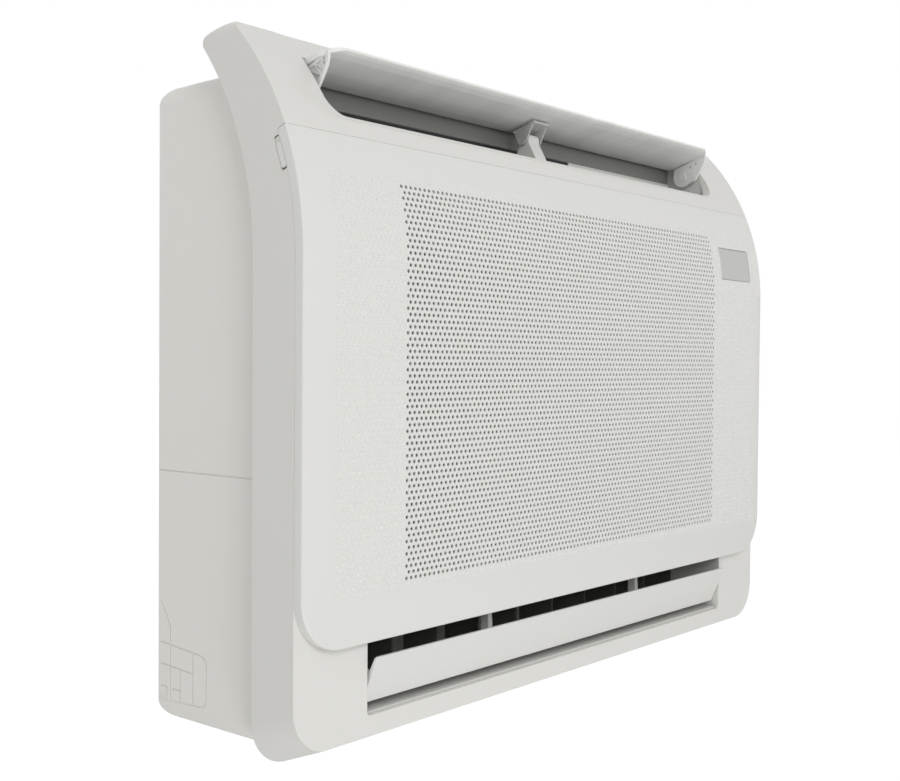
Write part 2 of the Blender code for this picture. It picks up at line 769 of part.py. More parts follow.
def upper_duct():
    """Duct from the fan chamber up to the top mouth."""
    shell_top = 0.0034
    top = crownHeight - 0.009
    front = [(shroudFront, upperDuctLow), (0.0400, 0.5358)]
    front += climb(bow, topMouthLow - 0.0040, top - 0.003, shell_top, 6)
    rear = [(0.1036, top - 0.003), (0.1036, 0.5662), (0.1525, upperDuctLow)]
    half = upperDuctHalf + ductWall
    bm = bmesh.new()
    prism(bm, front + rear, "X", -half, half)
    duct = part("upper_duct", bm, (0.42, 0.43, 0.42), 0.5)
    inner = [
        (shroudFront + shroudThick, upperDuctLow - 0.01),
        (shroudFront + shroudThick, upperDuctLow),
        (0.0430, 0.5370),
        (0.0380, topMouthLow - 0.0020),
        (0.0200, topMouthLow - 0.0008),
        (0.0200, unitHeight),
        (0.1013, unitHeight),
        (0.1013, 0.5657),
        (0.1495, upperDuctLow),
        (0.1495, upperDuctLow - 0.01),
    ]
    bm = bmesh.new()
    prism(bm, inner, "X", -upperDuctHalf, upperDuctHalf)
    shape(duct, tool("upper_duct_hollow", bm))
    bm = bmesh.new()
    for side in (-1, 1):
        low, high = sorted((side * (upperDuctHalf - 0.003), side * (upperDuctHalf + 0.006)))
        rod(bm, "X", (louverPivotY, louverPivotZ), low, high, louverPinRadius + pinGap, 10)
    for index in range(upperBlades):
        x = (index - (upperBlades - 1) / 2) * upperPitch
        rod(bm, "Y", (x, upperPivotZ), 0.050, 0.160, bladePinRadius + pinGap, 8)
    shape(duct, tool("upper_duct_holes", bm))


def lower_duct():
    """Duct from the fan chamber down and forward to the bottom mouth."""
    front = frameFace + frameWall + gap
    sweep = arc((0.120, 0.0878), 0.050, -90, 0, 5)
    inner = [(0.0, outletLow + 0.0004), (0.110, outletLow + 0.0004)] + sweep
    inner += [
        (0.170, lowerDuctHigh + 0.01),
        (0.0812, lowerDuctHigh + 0.01),
        (0.0812, ductCeiling),
        (0.0375, ductCeiling),
        (0.0190, outletHigh + 0.006),
        (front - 0.0002, outletHigh),
        (0.0, outletHigh),
    ]
    wall = ductWall
    outer_sweep = arc((0.120, 0.0878), 0.050 + wall, -90, 0, 5)
    outer = [(front, outletLow - wall), (0.110, outletLow - wall)] + outer_sweep
    outer += [
        (0.170 + wall, lowerDuctHigh),
        (0.0812 - wall, lowerDuctHigh),
        (0.0360, lowerDuctHigh),
        (0.0170, outletHigh + 0.008),
        (front, outletHigh + wall),
    ]
    bm = bmesh.new()
    prism(bm, outer, "X", -outletHalf - wall, outletHalf + wall)
    duct = part("lower_duct", bm, (0.10, 0.10, 0.10), 0.6)
    bm = bmesh.new()
    prism(bm, inner, "X", -outletHalf, outletHalf)
    shape(duct, tool("lower_duct_hollow", bm))
    pivot = (vanePivotY, vanePivotZ)
    posts = bmesh.new()
    post = arc(pivot, 0.0048, -190, 10, 5) + [(0.0275, 0.1270), (0.0195, 0.1165)]
    for side in (-1, 1):
        prism(posts, post, "X", side * vaneSupportX - 0.0030, side * vaneSupportX + 0.0030)
    shape(duct, tool("vane_hangers", posts), "UNION")
    bm = bmesh.new()
    for side in (-1, 1):
        low, high = sorted((side * (outletHalf - 0.003), side * (outletHalf + 0.006)))
        rod(bm, "X", pivot, low, high, vanePinRadius + pinGap, 10)
        rod(bm, "X", pivot, side * vaneSupportX - 0.006, side * vaneSupportX + 0.006, 0.0020 + pinGap, 8)
    for index in range(lowerBlades):
        x = (index - (lowerBlades - 1) / 2) * lowerPitch
        rod(bm, "Z", (x, lowerPivotY), outletLow - 0.006, outletLow + 0.003, bladePinRadius + pinGap, 8)
    shape(duct, tool("lower_duct_holes", bm))


def fan_shroud():
    """Plate with the bell mouth that leads air into the fan wheel."""
    bm = bmesh.new()
    half = upperDuctHalf + ductWall
    block(
        bm,
        (-half, shroudFront, lowerDuctHigh + 0.0003 + 0.0007),
        (half, shroudFront + shroudThick, upperDuctLow - gap),
    )
    shroud = part("fan_shroud", bm, (0.30, 0.31, 0.31), 0.5)
    bm = bmesh.new()
    outside = bellRadius + bellWall
    profile = [(outside + bellFlare, shroudFront + 0.001), (outside + bellFlare, shroudFront + 0.0035)]
    profile += [(outside, shroudFront + 0.008), (outside, wheelFront - 0.0005)]
    turned_solid(bm, (fanX, fanZ), profile, 32)
    shape(shroud, tool("bell_collar", bm), "UNION")
    bm = bmesh.new()
    turned_solid(
        bm, (fanX, fanZ),
        [(bellRadius + bellFlare, shroudFront - 0.001), (bellRadius, shroudFront + 0.007), (bellRadius, 0.100)],
        32,
    )
    shape(shroud, tool("bell_bore", bm))


def air_guide():
    """Fan chamber liner: side walls that narrow beside the wheel, joined by a back sheet."""
    thick = 0.003
    low, high = lowerDuctHigh + 0.001, upperDuctLow - gap
    front = shroudFront + shroudThick + gap
    inner = []
    for step in range(13):
        height = low + (high - low) * step / 12
        end, reach = (outletHalf - 0.004, fanZ - low) if height < fanZ else (upperDuctHalf - 0.004, high - fanZ)
        inner.append((guideNarrow + (end - guideNarrow) * ((height - fanZ) / reach) ** 2, height))
    back = unitDepth - casingBack - gap
    bm = bmesh.new()
    outline = [(x + thick, z) for x, z in inner] + [(-x - thick, z) for x, z in inner[::-1]]
    prism(bm, outline, "Y", front, back)
    guide = part("air_guide", bm, (0.75, 0.75, 0.73), 0.8)
    inner[0], inner[-1] = (inner[0][0], low - 0.01), (inner[-1][0], high + 0.01)
    bm = bmesh.new()
    prism(bm, inner + [(-x, z) for x, z in inner[::-1]], "Y", front - 0.01, back - guideSheet)
    shape(guide, tool("air_guide_hollow", bm))
    bm = bmesh.new()
    rod(bm, "Y", (fanX, fanZ), back - 0.02, back + 0.01, motorRadius + 0.020, 24)
    for side in (-1, 1):
        centre = side * hookOffset
        half = hookWidth / 2 + 0.004
        block(bm, (centre - half, back - 0.02, hookHeight - 0.020), (centre + half, back + 0.01, high + 0.01))
    shape(guide, tool("air_guide_openings", bm))


# Fan

def fan():
    centre = (fanX, fanZ)
    pivot = (fanX, (wheelFront + wheelBack) / 2, fanZ)
    holder = pivot_empty("fan_axis", pivot)
    bm = bmesh.new()
    bore = shaftRadius + gap
    profile = [
        (wheelRadius, wheelBack), (wheelRadius, wheelBack - 0.0025), (0.070, wheelBack - 0.0025),
        (0.052, wheelBack - 0.0160), (0.014, wheelBack - 0.0160), (0.014, wheelBack - 0.022),
        (bore, wheelBack - 0.022), (bore, wheelBack - 0.0130), (0.050, wheelBack - 0.0130),
        (0.068, wheelBack),
    ]
    turned_solid(bm, centre, profile, 28, ring=True)
    wheel = part("fan_wheel", bm, (0.16, 0.17, 0.17), 0.5, pivot=pivot, holder=holder)
    bm = bmesh.new()
    washer(bm, "Y", centre, wheelFront, wheelFront + 0.0025, wheelEye, wheelRadius, 28)
    shape(wheel, tool("wheel_front_ring", bm), "UNION")
    blades = bmesh.new()
    for index in range(bladeCount):
        turn = 360 * index / bladeCount
        outline = []
        for radius, lean in ((0.098, 0), (0.122, 11), (0.146, 19), (0.163, 24)):
            angle = radians(turn + lean)
            outline.append((fanX + radius * cos(angle), fanZ + radius * sin(angle)))
        for radius, lean in ((0.163, 25.2), (0.146, 20.6), (0.122, 12.8), (0.098, 2)):
            angle = radians(turn + lean)
            outline.append((fanX + radius * cos(angle), fanZ + radius * sin(angle)))
        prism(blades, outline, "Y", wheelFront + 0.001, wheelBack - 0.001)
    shape(wheel, tool("wheel_blades", blades), "UNION")
    bm = bmesh.new()
    rod(bm, "Y", centre, wheelBack - 0.034, motorFront + 0.008, shaftRadius, 12)
    part("fan_shaft", bm, (0.6, 0.6, 0.6), 0.25, 1.0, pivot=pivot, holder=holder)
    bm = bmesh.new()
    inner = (shaftRadius + gap) / cos(pi / 6)
    washer(bm, "Y", centre, wheelBack - 0.030, wheelBack - 0.0223, inner, 0.0085, 6)
    part("fan_nut", bm, (0.5, 0.45, 0.3), 0.3, 1.0, pivot=pivot, holder=holder)


def fan_motor():
    centre = (fanX, fanZ)
    bm = bmesh.new()
    profile = [
        (0.020, motorFront), (0.040, motorFront + 0.002), (motorRadius, motorFront + 0.008),
        (motorRadius, motorRear - 0.004), (0.046, motorRear),
    ]
    turned_solid(bm, centre, profile, 24)
    motor = part("fan_motor", bm, (0.35, 0.36, 0.37), 0.35, 0.8)
    bm = bmesh.new()
    rod(bm, "Y", centre, motorFront - 0.002, motorFront + 0.010, shaftRadius + pinGap, 12)
    shape(motor, tool("motor_shaft_hole", bm))

    bm = bmesh.new()
    washer(bm, "Y", centre, motorFront + 0.012, motorRear - 0.006, motorRadius + gap, motorRadius + 0.0025, 24)
    bracket = part("motor_bracket", bm, (0.55, 0.56, 0.57), 0.4, 0.9)
    for leg in range(3):
        angle = radians(90 + 120 * leg)
        bm = bmesh.new()
        near, far = motorRadius + 0.001, motorRadius + 0.014
        front, back = motorFront + 0.018, unitDepth - casingBack - gap
        leg_outline = [(near, front), (far, front), (far, back), (far - 0.0025, back)]
        leg_outline += [(far - 0.0025, front + 0.0025), (near, front + 0.0025)]
        prism(bm, leg_outline, "Z", -0.008, 0.008)
        bmesh.ops.rotate(bm, verts=bm.verts[:], cent=(0, 0, 0), matrix=Matrix.Rotation(-angle, 3, "Y"))
        bmesh.ops.translate(bm, verts=bm.verts[:], vec=(fanX, 0, fanZ))
        shape(bracket, tool(f"motor_leg_{leg}", bm), "UNION")


# Bottom vane and swing blades

def bottom_vane():
    """Vane at its photographed angle, with end arms and two middle arms, one moulding."""
    pivot2 = (vanePivotY, vanePivotZ)
    pivot = (0, vanePivotY, vanePivotZ)
    section = [
        (0.0180, 0.0460), (0.0138, 0.0560), (0.0090, 0.0675), (0.0046, 0.0785), (0.0005, 0.0885),
        (0.0028, 0.0889), (0.0100, 0.0750), (0.0160, 0.0600), (0.0202, 0.0468),
    ]
    bm = bmesh.new()
    prism(bm, section, "X", -vaneHalf, vaneHalf)
    vane = part("bottom_vane", bm, white, 0.38, pivot=pivot)
    arm = [(0.0085, 0.0740), (0.0125, 0.0625)] + arc(pivot2, 0.0050, -75, 110, 5)
    ends = bmesh.new()
    stubs = bmesh.new()
    for side in (-1, 1):
        low, high = sorted((side * (vaneHalf - 0.0036), side * (vaneHalf - 0.0010)))
        prism(ends, arm, "X", low, high)
        low, high = sorted((side * (vaneHalf - 0.0028), side * (outletHalf + ductWall - 0.0002)))
        rod(stubs, "X", pivot2, low, high, vanePinRadius, 10)
        for shift in (-1, 1):
            middle = side * vaneSupportX + shift * 0.0050
            prism(ends, arm, "X", middle - 0.0012, middle + 0.0012)
        rod(stubs, "X", pivot2, side * vaneSupportX - 0.0055, side * vaneSupportX + 0.0055, 0.0020, 8)
    shape(vane, tool("vane_arms", ends), "UNION")
    shape(vane, tool("vane_stubs", stubs), "UNION")



def lower_swing_blades():
    floor = outletLow + 0.0004
    low, high = floor + 0.0040, lowerBladeHigh
    front, back = lowerPivotY - 0.034, lowerPivotY + 0.008
    outline = [
        (front + 0.008, low), (back, low), (back, high - 0.010), (back - 0.010, high),
        (front + 0.010, high), (front, high - 0.010), (front, low + 0.008),
    ]
    crank_y = lowerPivotY - lowerCrank
    first = None
    for index in range(lowerBlades):
        x = (index - (lowerBlades - 1) / 2) * lowerPitch
        pivot = (x, lowerPivotY, low)
        bm = bmesh.new()
        prism(bm, outline, "X", x - bladeThick / 2, x + bladeThick / 2)
        blade = part(f"lower_swing_blade_{index + 1}", bm, (0.05, 0.05, 0.05), 0.45, pivot=pivot)
        bm = bmesh.new()
        rod(bm, "Z", (x, lowerPivotY), outletLow - ductWall + 0.0002, low + 0.012, bladePinRadius, 8)
        rod(bm, "Z", (x, crank_y), high - 0.006, high + 0.0062, bladePinRadius, 8)
        shape(blade, tool(f"lower_blade_pins_{index + 1}", bm), "UNION")
        first = first or (x, crank_y, high + 0.003)
    bm = bmesh.new()
    reach = (lowerBlades - 1) / 2 * lowerPitch + 0.006
    block(bm, (-reach, crank_y - 0.0042, high + 0.0012), (reach, crank_y + 0.0042, high + 0.0012 + linkThick))
    link = part("lower_link_bar", bm, (0.05, 0.05, 0.05), 0.45, pivot=first)
    bm = bmesh.new()
    for index in range(lowerBlades):
        x = (index - (lowerBlades - 1) / 2) * lowerPitch
        rod(bm, "Z", (x, crank_y), high, high + 0.008, bladePinRadius + pinGap, 8)
    shape(link, tool("lower_link_holes", bm))


def upper_swing_blades():
    low, high = upperPivotZ - 0.012, upperPivotZ + 0.0145
    front, back = 0.0720, 0.1120
    outline = [
        (front + 0.006, low), (back, low), (back, high - 0.008), (back - 0.008, high), (front, high),
        (front, low + 0.010),
    ]
    crank_z = upperPivotZ + upperCrank - 0.006
    pivot_z = upperPivotZ
    first = None
    for index in range(upperBlades):
        x = (index - (upperBlades - 1) / 2) * upperPitch
        pivot = (x, 0.100, pivot_z)
        bm = bmesh.new()
        prism(bm, outline, "X", x - bladeThick / 2, x + bladeThick / 2)
        blade = part(f"upper_swing_blade_{index + 1}", bm, (0.05, 0.05, 0.05), 0.45, pivot=pivot)
        bm = bmesh.new()
        rod(bm, "Y", (x, pivot_z), 0.0600, front + 0.004, bladePinRadius, 8)
        rod(bm, "Y", (x, pivot_z), back - 0.004, 0.1385, bladePinRadius, 8)
        rod(bm, "Y", (x, crank_z), front - 0.0062, front + 0.004, bladePinRadius, 8)
        shape(blade, tool(f"upper_blade_pins_{index + 1}", bm), "UNION")
        first = first or (x, front - 0.003, crank_z)
    bm = bmesh.new()
    reach = (upperBlades - 1) / 2 * upperPitch + 0.006
    near = front - 0.0012 - linkThick
    block(bm, (-reach, near, crank_z - 0.0040), (reach, front - 0.0012, crank_z + 0.0040))
    link = part("upper_link_bar", bm, (0.05, 0.05, 0.05), 0.45, pivot=first)
    bm = bmesh.new()
    for index in range(upperBlades):
        x = (index - (upperBlades - 1) / 2) * upperPitch
        rod(bm, "Y", (x, crank_z), front - 0.010, front + 0.001, bladePinRadius + pinGap, 8)
    shape(link, tool("upper_link_holes", bm))


def step_motors():
    """Small stepping motors: round body, two lugs and a boss over the driven pin."""
    grey = (0.52, 0.53, 0.54)
    wall = outletHalf + ductWall + gap
    bm = bmesh.new()
    rod(bm, "X", (vanePivotY + 0.002, vanePivotZ), wall, wall + 0.017, 0.0090, 16)
    part("vane_motor", bm, grey, 0.35, 0.8)
    wall = upperDuctHalf + ductWall + gap
    bm = bmesh.new()
    rod(bm, "X", (louverPivotY, louverPivotZ), wall, wall + 0.018, 0.0110, 16)
    part("louver_motor", bm, grey, 0.35, 0.8)
    x = -(lowerBlades - 1) / 2 * lowerPitch
    bm = bmesh.new()
    rod(bm, "Z", (x, lowerPivotY), 0.0165, outletLow - ductWall - gap, 0.0140, 16)
    part("lower_swing_motor", bm, grey, 0.35, 0.8)
    x = -(upperBlades - 1) / 2 * upperPitch
    bm = bmesh.new()
    rod(bm, "Y", (x, upperPivotZ), 0.1500, 0.1680, 0.0140, 16)
    motor = part("upper_swing_motor", bm, grey, 0.35, 0.8)
    bm = bmesh.new()
    rod(bm, "Y", (x, upperPivotZ), 0.1416, 0.1505, 0.0040, 8)
    shape(motor, tool("upper_motor_boss", bm), "UNION")


# Heat exchanger, drain and filters

def evaporator():
    """Finned block, two end plates and one serpentine tube that runs in the block's back."""
    back = coilFront + coilDepth
    low = panLow + panWall + gap
    spine = 2 * tubeRadius + 0.0015
    comb = []
    count = int((coilRight - coilLeft) / finPitch)
    for index in range(count):
        x = coilLeft + finPitch * index
        comb += [(x, coilFront), (x + finPitch * 0.35, coilFront), (x + finPitch * 0.35, back - spine)]
        comb += [(x + finPitch, back - spine)]
    comb += [(coilRight, back - spine), (coilRight, back), (coilLeft, back)]
    bm = bmesh.new()
    prism(bm, comb, "Z", low, coilHigh)
    fins = part("evaporator_fins", bm, (0.55, 0.58, 0.60), 0.35, 0.9)

    first = low + 0.028
    step = (coilHigh - low - 0.056) / (tubeRuns - 1)
    levels = [first + step * run for run in range(tubeRuns)]
    y = back - tubeRadius - 0.0006
    channels = bmesh.new()
    holes = bmesh.new()
    half = tubeRadius + 0.0006
    for level in levels:
        block(channels, (coilLeft - 0.01, y - half, level - half), (coilRight + 0.01, back + 0.01, level + half))
        rod(holes, "X", (y, level), coilLeft - 0.01, coilRight + 0.01, tubeRadius + gap, 8)
    shape(fins, tool("fin_channels", channels))
    cutter = tool("plate_holes", holes)
    for name, x in (("left", coilLeft - gap - plateThick), ("right", coilRight + gap)):
        bm = bmesh.new()
        block(bm, (x, coilFront - 0.001, low), (x + plateThick, back + 0.001, coilHigh + 0.001))
        plate = part(f"evaporator_plate_{name}", bm, (0.60, 0.61, 0.62), 0.35, 1.0)
        shape(plate, cutter)

    route = [(tubeEnd, y, levels[0])]
    for run, level in enumerate(levels[:-1]):
        side, x = ((1, coilRight + 0.003), (-1, coilLeft - 0.003))[run % 2]
        for turn in range(5):
            angle = pi * turn / 4 - pi / 2
            route.append((x + side * step / 2 * 0.45 * cos(angle), y, level + step / 2 + step / 2 * sin(angle)))
    route.append((tubeEnd, y, levels[-1]))
    tube("evaporator_tube", route, tubeRadius, 1)


def drain_pan():
    bm = bmesh.new()
    block(bm, (-panHalf, panFront, panLow), (panHalf, panBack, panHigh))
    pan = part("drain_pan", bm, (0.80, 0.80, 0.78), 0.6)
    bm = bmesh.new()
    block(
        bm,
        (-panHalf + panWall, panFront + panWall, panLow + panWall),
        (panHalf - panWall, panBack - panWall, panHigh + 0.01),
    )
    rod(bm, "X", (panBack - 0.0145, panLow + 0.0150), -panHalf - 0.005, -panHalf + 0.001, drainRadius - 0.002, 12)
    shape(pan, tool("pan_hollow", bm))
    bm = bmesh.new()
    place = (panBack - 0.0145, panLow + 0.0150)
    washer(bm, "X", place, -panHalf - gap - spoutLength, -panHalf - gap, drainRadius - 0.002, drainRadius, 14)
    part("drain_spout", bm, (0.10, 0.10, 0.10), 0.6)


def filters():
    """Two lift-out filters in a rail frame: a border, cross bars and a thin mesh sheet."""
    low = panLow + 0.0042
    rail_back = panFront - gap
    middle = 0.0017
    side = intakeHalf - 0.002
    ledge_low = panLow + 0.0003
    ledge = low - gap
    end = filterHigh + 0.012
    outline = [
        (-side - 0.004, ledge_low), (side + 0.004, ledge_low), (side + 0.004, end), (side + gap, end),
        (side + gap, ledge), (middle, ledge), (middle, end), (-middle, end), (-middle, ledge),
        (-side - gap, ledge), (-side - gap, end), (-side - 0.004, end),
    ]
    bm = bmesh.new()
    prism(bm, outline, "Y", railFront, rail_back)
    part("filter_rails", bm, white, 0.5)
    for name, left in (("filter_left", -side), ("filter_right", middle + gap)):
        right = left + side - middle - gap
        bar = 0.005
        bm = bmesh.new()
        block(bm, (left, filterFront, low), (right, filterFront + filterThick, filterHigh))
        made = part(name, bm, (0.30, 0.32, 0.33), 0.6, pivot=(left, filterFront, low))
        bm = bmesh.new()
        columns, rows = 2, 4
        width = (right - left - bar) / columns
        height = (filterHigh - low - bar) / rows
        for column in range(columns):
            for row in range(rows):
                x = left + bar + width * column
                z = low + bar + height * row
                corner = (x + width - bar, filterFront + filterThick - 0.0008, z + height - bar)
                block(bm, (x, filterFront - 0.001, z), corner)
        shape(made, tool(name + "_cells", bm))


# Electrics and pipes

def electrics():
    left, right = halfWidth - 0.101, halfWidth - 0.039
    low, high = 0.1900, 0.4300
    front, back = 0.0280, shroudFront - gap
    sheet = 0.0015
    bm = bmesh.new()
    block(bm, (left, front, low), (right, back, high))
    box = part("control_box", bm, (0.62, 0.63, 0.63), 0.4, 0.9)
    bm = bmesh.new()
    block(bm, (left + sheet, front - 0.01, low + sheet), (right - sheet, back - sheet, high - sheet))
    shape(box, tool("control_box_hollow", bm))
    bm = bmesh.new()
    block(bm, (left, front - gap - sheet, low), (right, front - gap, high))
    part("control_box_cover", bm, (0.62, 0.63, 0.63), 0.4, 0.9)

    bm = bmesh.new()
    board_back = back - sheet - 0.0003
    block(bm, (left + 0.004, board_back - 0.0060, low + 0.060), (right - 0.004, board_back, high - 0.006))
    board = part("control_board", bm, (0.05, 0.25, 0.10), 0.5)
    for number, (x, z, w, t, h) in enumerate((
        (0.010, 0.275, 0.014, 0.016, 0.020), (0.034, 0.280, 0.018, 0.012, 0.018),
        (0.012, 0.330, 0.020, 0.010, 0.016), (0.038, 0.345, 0.012, 0.018, 0.012),
        (0.016, 0.390, 0.026, 0.008, 0.010),
    )):
        bm = bmesh.new()
        face = board_back - 0.0060
        block(bm, (left + x, face - t, z), (left + x + w, face + 0.001, z + h))
        shape(board, tool(f"board_piece_{number}", bm), "UNION")

    bm = bmesh.new()
    ways = 5
    step = (right - left - 0.014) / ways
    base = low + sheet + gap
    comb = [(left + 0.006, base), (right - 0.006, base), (right - 0.006, base + 0.020)]
    for way in range(ways, 0, -1):
        x = left + 0.007 + step * way
        comb += [(x - 0.001, base + 0.020), (x - 0.001, base + 0.013), (x - step + 0.001, base + 0.013)]
        comb += [(x - step + 0.001, base + 0.020)]
    comb += [(left + 0.006, base + 0.020)]
    prism(bm, comb, "Y", board_back - 0.018, board_back)
    part("terminal_block", bm, (0.12, 0.12, 0.12), 0.5)

    bm = bmesh.new()
    depth = frameFace + frameWall + gap
    outline = climb(bow, displayLow - 0.002, displayHigh + 0.002, depth, 3)
    outline += climb(bow, displayLow - 0.002, displayHigh + 0.002, depth + 0.0060, 3)[::-1]
    prism(bm, outline, "X", displayLeft - 0.002, displayRight - 0.008)
    part("display_board", bm, (0.05, 0.25, 0.10), 0.5)


def pipe_route(points, bend, steps=4):
    """A route of straight runs with each corner rounded to a bend radius."""
    route = [Vector(points[0])]
    for before, corner, after in zip(points, points[1:], points[2:]):
        before, corner, after = Vector(before), Vector(corner), Vector(after)
        start = corner + (before - corner).normalized() * bend
        end = corner + (after - corner).normalized() * bend
        for step in range(steps + 1):
            share = step / steps
            route.append(start.lerp(corner, share).lerp(corner.lerp(end, share), share))
    route.append(Vector(points[-1]))
    return route


def tube(name, route, radius, fineness=2):
    """A copper tube along a route."""
    curve = bpy.data.curves.new(name, "CURVE")
    curve.dimensions = "3D"
    curve.bevel_depth = radius
    curve.bevel_resolution = fineness
    curve.use_fill_caps = True
    spline = curve.splines.new("POLY")
    spline.points.add(len(route) - 1)
    for point, place in zip(spline.points, route):
        point.co = (*place, 1)
    made = bpy.data.objects.new(name, curve)
    curve.materials.append(finish(name, (0.72, 0.40, 0.24), 0.3, 1.0))
    bpy.context.scene.collection.objects.link(made)
    made.parent = unit


def pipes():
    """Gas and liquid pipes from the coil down to flare nuts behind the unit's lower left."""
    low = panLow + panWall + gap + 0.028
    high = coilHigh - 0.028
    y = coilFront + coilDepth - tubeRadius - 0.0006
    start = tubeEnd - gap
    routes = (
        ("gas", gasRadius, 0.018, [(start, y, high), (gasX, y, high), (gasX, 0.046, 0.066), (gasX, 0.150, 0.066)]),
        ("liquid", liquidRadius, 0.014,
         [(start, y, low), (liquidX, y, low), (liquidX, 0.050, 0.040), (liquidX, 0.150, 0.040)]),
    )
    for name, radius, length, points in routes:
        tube(f"{name}_pipe", pipe_route(points, 0.020), radius)
        end = points[-1]
        bm = bmesh.new()
        bore = (radius + gap) / cos(pi / 6)
        profile = [(bore, 0.0), (radius * 1.9, 0.0), (radius * 1.9, length), (radius * 0.7, length)]
        profile += [(radius * 0.7, length * 0.45), (bore, length * 0.45)]
        place = (end[0], end[2])
        turned_solid(bm, place, [(r, end[1] - length * 0.35 + y) for r, y in profile], 6, ring=True)
        part(f"{name}_flare_nut", bm, (0.70, 0.55, 0.25), 0.3, 1.0)


for leftover in list(bpy.data.objects):
    bpy.data.objects.remove(leftover)
unit = bpy.data.objects.new("unit", None)
bpy.context.scene.collection.objects.link(unit)
unit.location = (0.0, -unitDepth, -bracketHeight)

front_frame()
front_panel()
panel_latches()
rear_casing()
frame_screws()
wall_bracket()
top_louver()
louver_mid_support()
upper_duct()
lower_duct()
fan_shroud()
air_guide()
fan()
fan_motor()
bottom_vane()
lower_swing_blades()
upper_swing_blades()
step_motors()
evaporator()
drain_pan()
filters()
electrics()
pipes()
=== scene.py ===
import json
from math import asin, cos, pi, radians, sin, sqrt

import bpy
import numpy as np
from mathutils import Matrix, Vector


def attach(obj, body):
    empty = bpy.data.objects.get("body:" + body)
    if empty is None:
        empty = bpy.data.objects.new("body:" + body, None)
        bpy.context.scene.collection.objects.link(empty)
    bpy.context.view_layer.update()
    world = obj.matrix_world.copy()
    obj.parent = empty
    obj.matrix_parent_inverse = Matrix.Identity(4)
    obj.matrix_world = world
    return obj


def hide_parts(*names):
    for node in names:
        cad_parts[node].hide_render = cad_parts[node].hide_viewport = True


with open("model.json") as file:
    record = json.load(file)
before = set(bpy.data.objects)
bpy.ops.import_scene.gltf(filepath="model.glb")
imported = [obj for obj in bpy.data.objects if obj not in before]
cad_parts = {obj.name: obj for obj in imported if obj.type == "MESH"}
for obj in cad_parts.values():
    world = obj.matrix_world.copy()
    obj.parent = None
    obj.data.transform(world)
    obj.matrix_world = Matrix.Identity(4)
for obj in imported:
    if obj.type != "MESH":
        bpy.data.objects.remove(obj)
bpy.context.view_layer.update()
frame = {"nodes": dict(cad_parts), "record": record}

# A wall hung console of a split air conditioner. Pieces are modelled in the unit's own
# measures, in metres: x to the right, y back from the panel's flat face, z up from the
# foot. settle() then carries them to the wall bracket, where the frame's origin is.
unit = {"half": 0.397, "depth": 0.206, "bracket": 0.520}
# Above "start" the front follows a bow. Radii of the panel's and of the band's rear edge.
bow = {"start": 0.420, "radius": 0.270, "rear": 0.290, "face": 0.0095, "band": 0.0595}
tiny = 1e-5
past = 0.410  # a cutter's half width, past both sides
scene = bpy.context.scene
scene.view_settings.view_transform = "Standard"


# Picking and editing

def free():
    bpy.ops.object.select_all(action="DESELECT")


def grab(*pieces):
    free()
    for piece in pieces:
        piece.select_set(True)
    bpy.context.view_layer.objects.active = pieces[0]


def deselect(mesh):
    for items in (mesh.vertices, mesh.edges, mesh.polygons):
        items.foreach_set("select", np.zeros(len(items), bool))


def enter(piece, kind, test):
    # Opens the piece for editing with the vertices, edges or faces that pass the test.
    grab(piece)
    mesh = piece.data
    deselect(mesh)
    if kind == "VERT":
        mesh.vertices.foreach_set("select", [bool(test(v.co)) for v in mesh.vertices])
    elif kind == "EDGE":
        spots = [v.co.copy() for v in mesh.vertices]
        chosen = [bool(test(spots[e.vertices[0]], spots[e.vertices[1]])) for e in mesh.edges]
        mesh.edges.foreach_set("select", chosen)
    else:
        mesh.polygons.foreach_set("select", [bool(test(f.center, f.normal)) for f in mesh.polygons])
    bpy.context.tool_settings.mesh_select_mode = (kind == "VERT", kind == "EDGE", kind == "FACE")
    bpy.ops.object.mode_set(mode="EDIT")


def leave():
    bpy.ops.object.mode_set(mode="OBJECT")


def everything(*_):
    return True


def near(a, b):
    return abs(a - b) < tiny


def tidyMesh(piece, merge=1e-5):
    enter(piece, "VERT", everything)
    bpy.ops.mesh.remove_doubles(threshold=merge)
    bpy.ops.mesh.select_all(action="SELECT")
    bpy.ops.mesh.normals_make_consistent(inside=False)
    leave()


def placed(name):
    piece = bpy.context.object
    piece.name = piece.data.name = name
    bpy.ops.object.transform_apply(location=True, rotation=True, scale=True)
    return piece


def block(name, low, high):
    free()
    middle = [(a + b) / 2 for a, b in zip(low, high)]
    size = [b - a for a, b in zip(low, high)]
    bpy.ops.mesh.primitive_cube_add(size=1, location=middle, scale=size)
    return placed(name)


def bar(name, start, end, radius, sides=16):
    free()
    start, end = Vector(start), Vector(end)
    bpy.ops.mesh.primitive_cylinder_add(
        vertices=sides, radius=radius, depth=(end - start).length,
        location=(start + end) / 2, rotation=(end - start).to_track_quat("Z", "Y").to_euler(),
    )
    return placed(name)


def polygon(name, corners):
    free()
    bpy.ops.mesh.primitive_circle_add(vertices=corners, radius=0.1, fill_type="NGON")
    return placed(name)


def slab(name, outline, low, high, axis="X"):
    # An outline of (y, z), or of (x, z) where it goes along Y, filled and extruded.
    piece = polygon(name, len(outline))
    for vert, (a, b) in zip(piece.data.vertices, outline):
        vert.co = (low, a, b) if axis == "X" else (a, low, b)
    enter(piece, "FACE", everything)
    reach = (high - low, 0, 0) if axis == "X" else (0, high - low, 0)
    bpy.ops.mesh.extrude_region_move(TRANSFORM_OT_translate={"value": reach})
    leave()
    tidyMesh(piece, 1e-6)
    return piece


def pair(side, inner, outer):
    # Low and high end of a stretch on the left (-1) or right (1) side.
    return sorted((side * inner, side * outer))


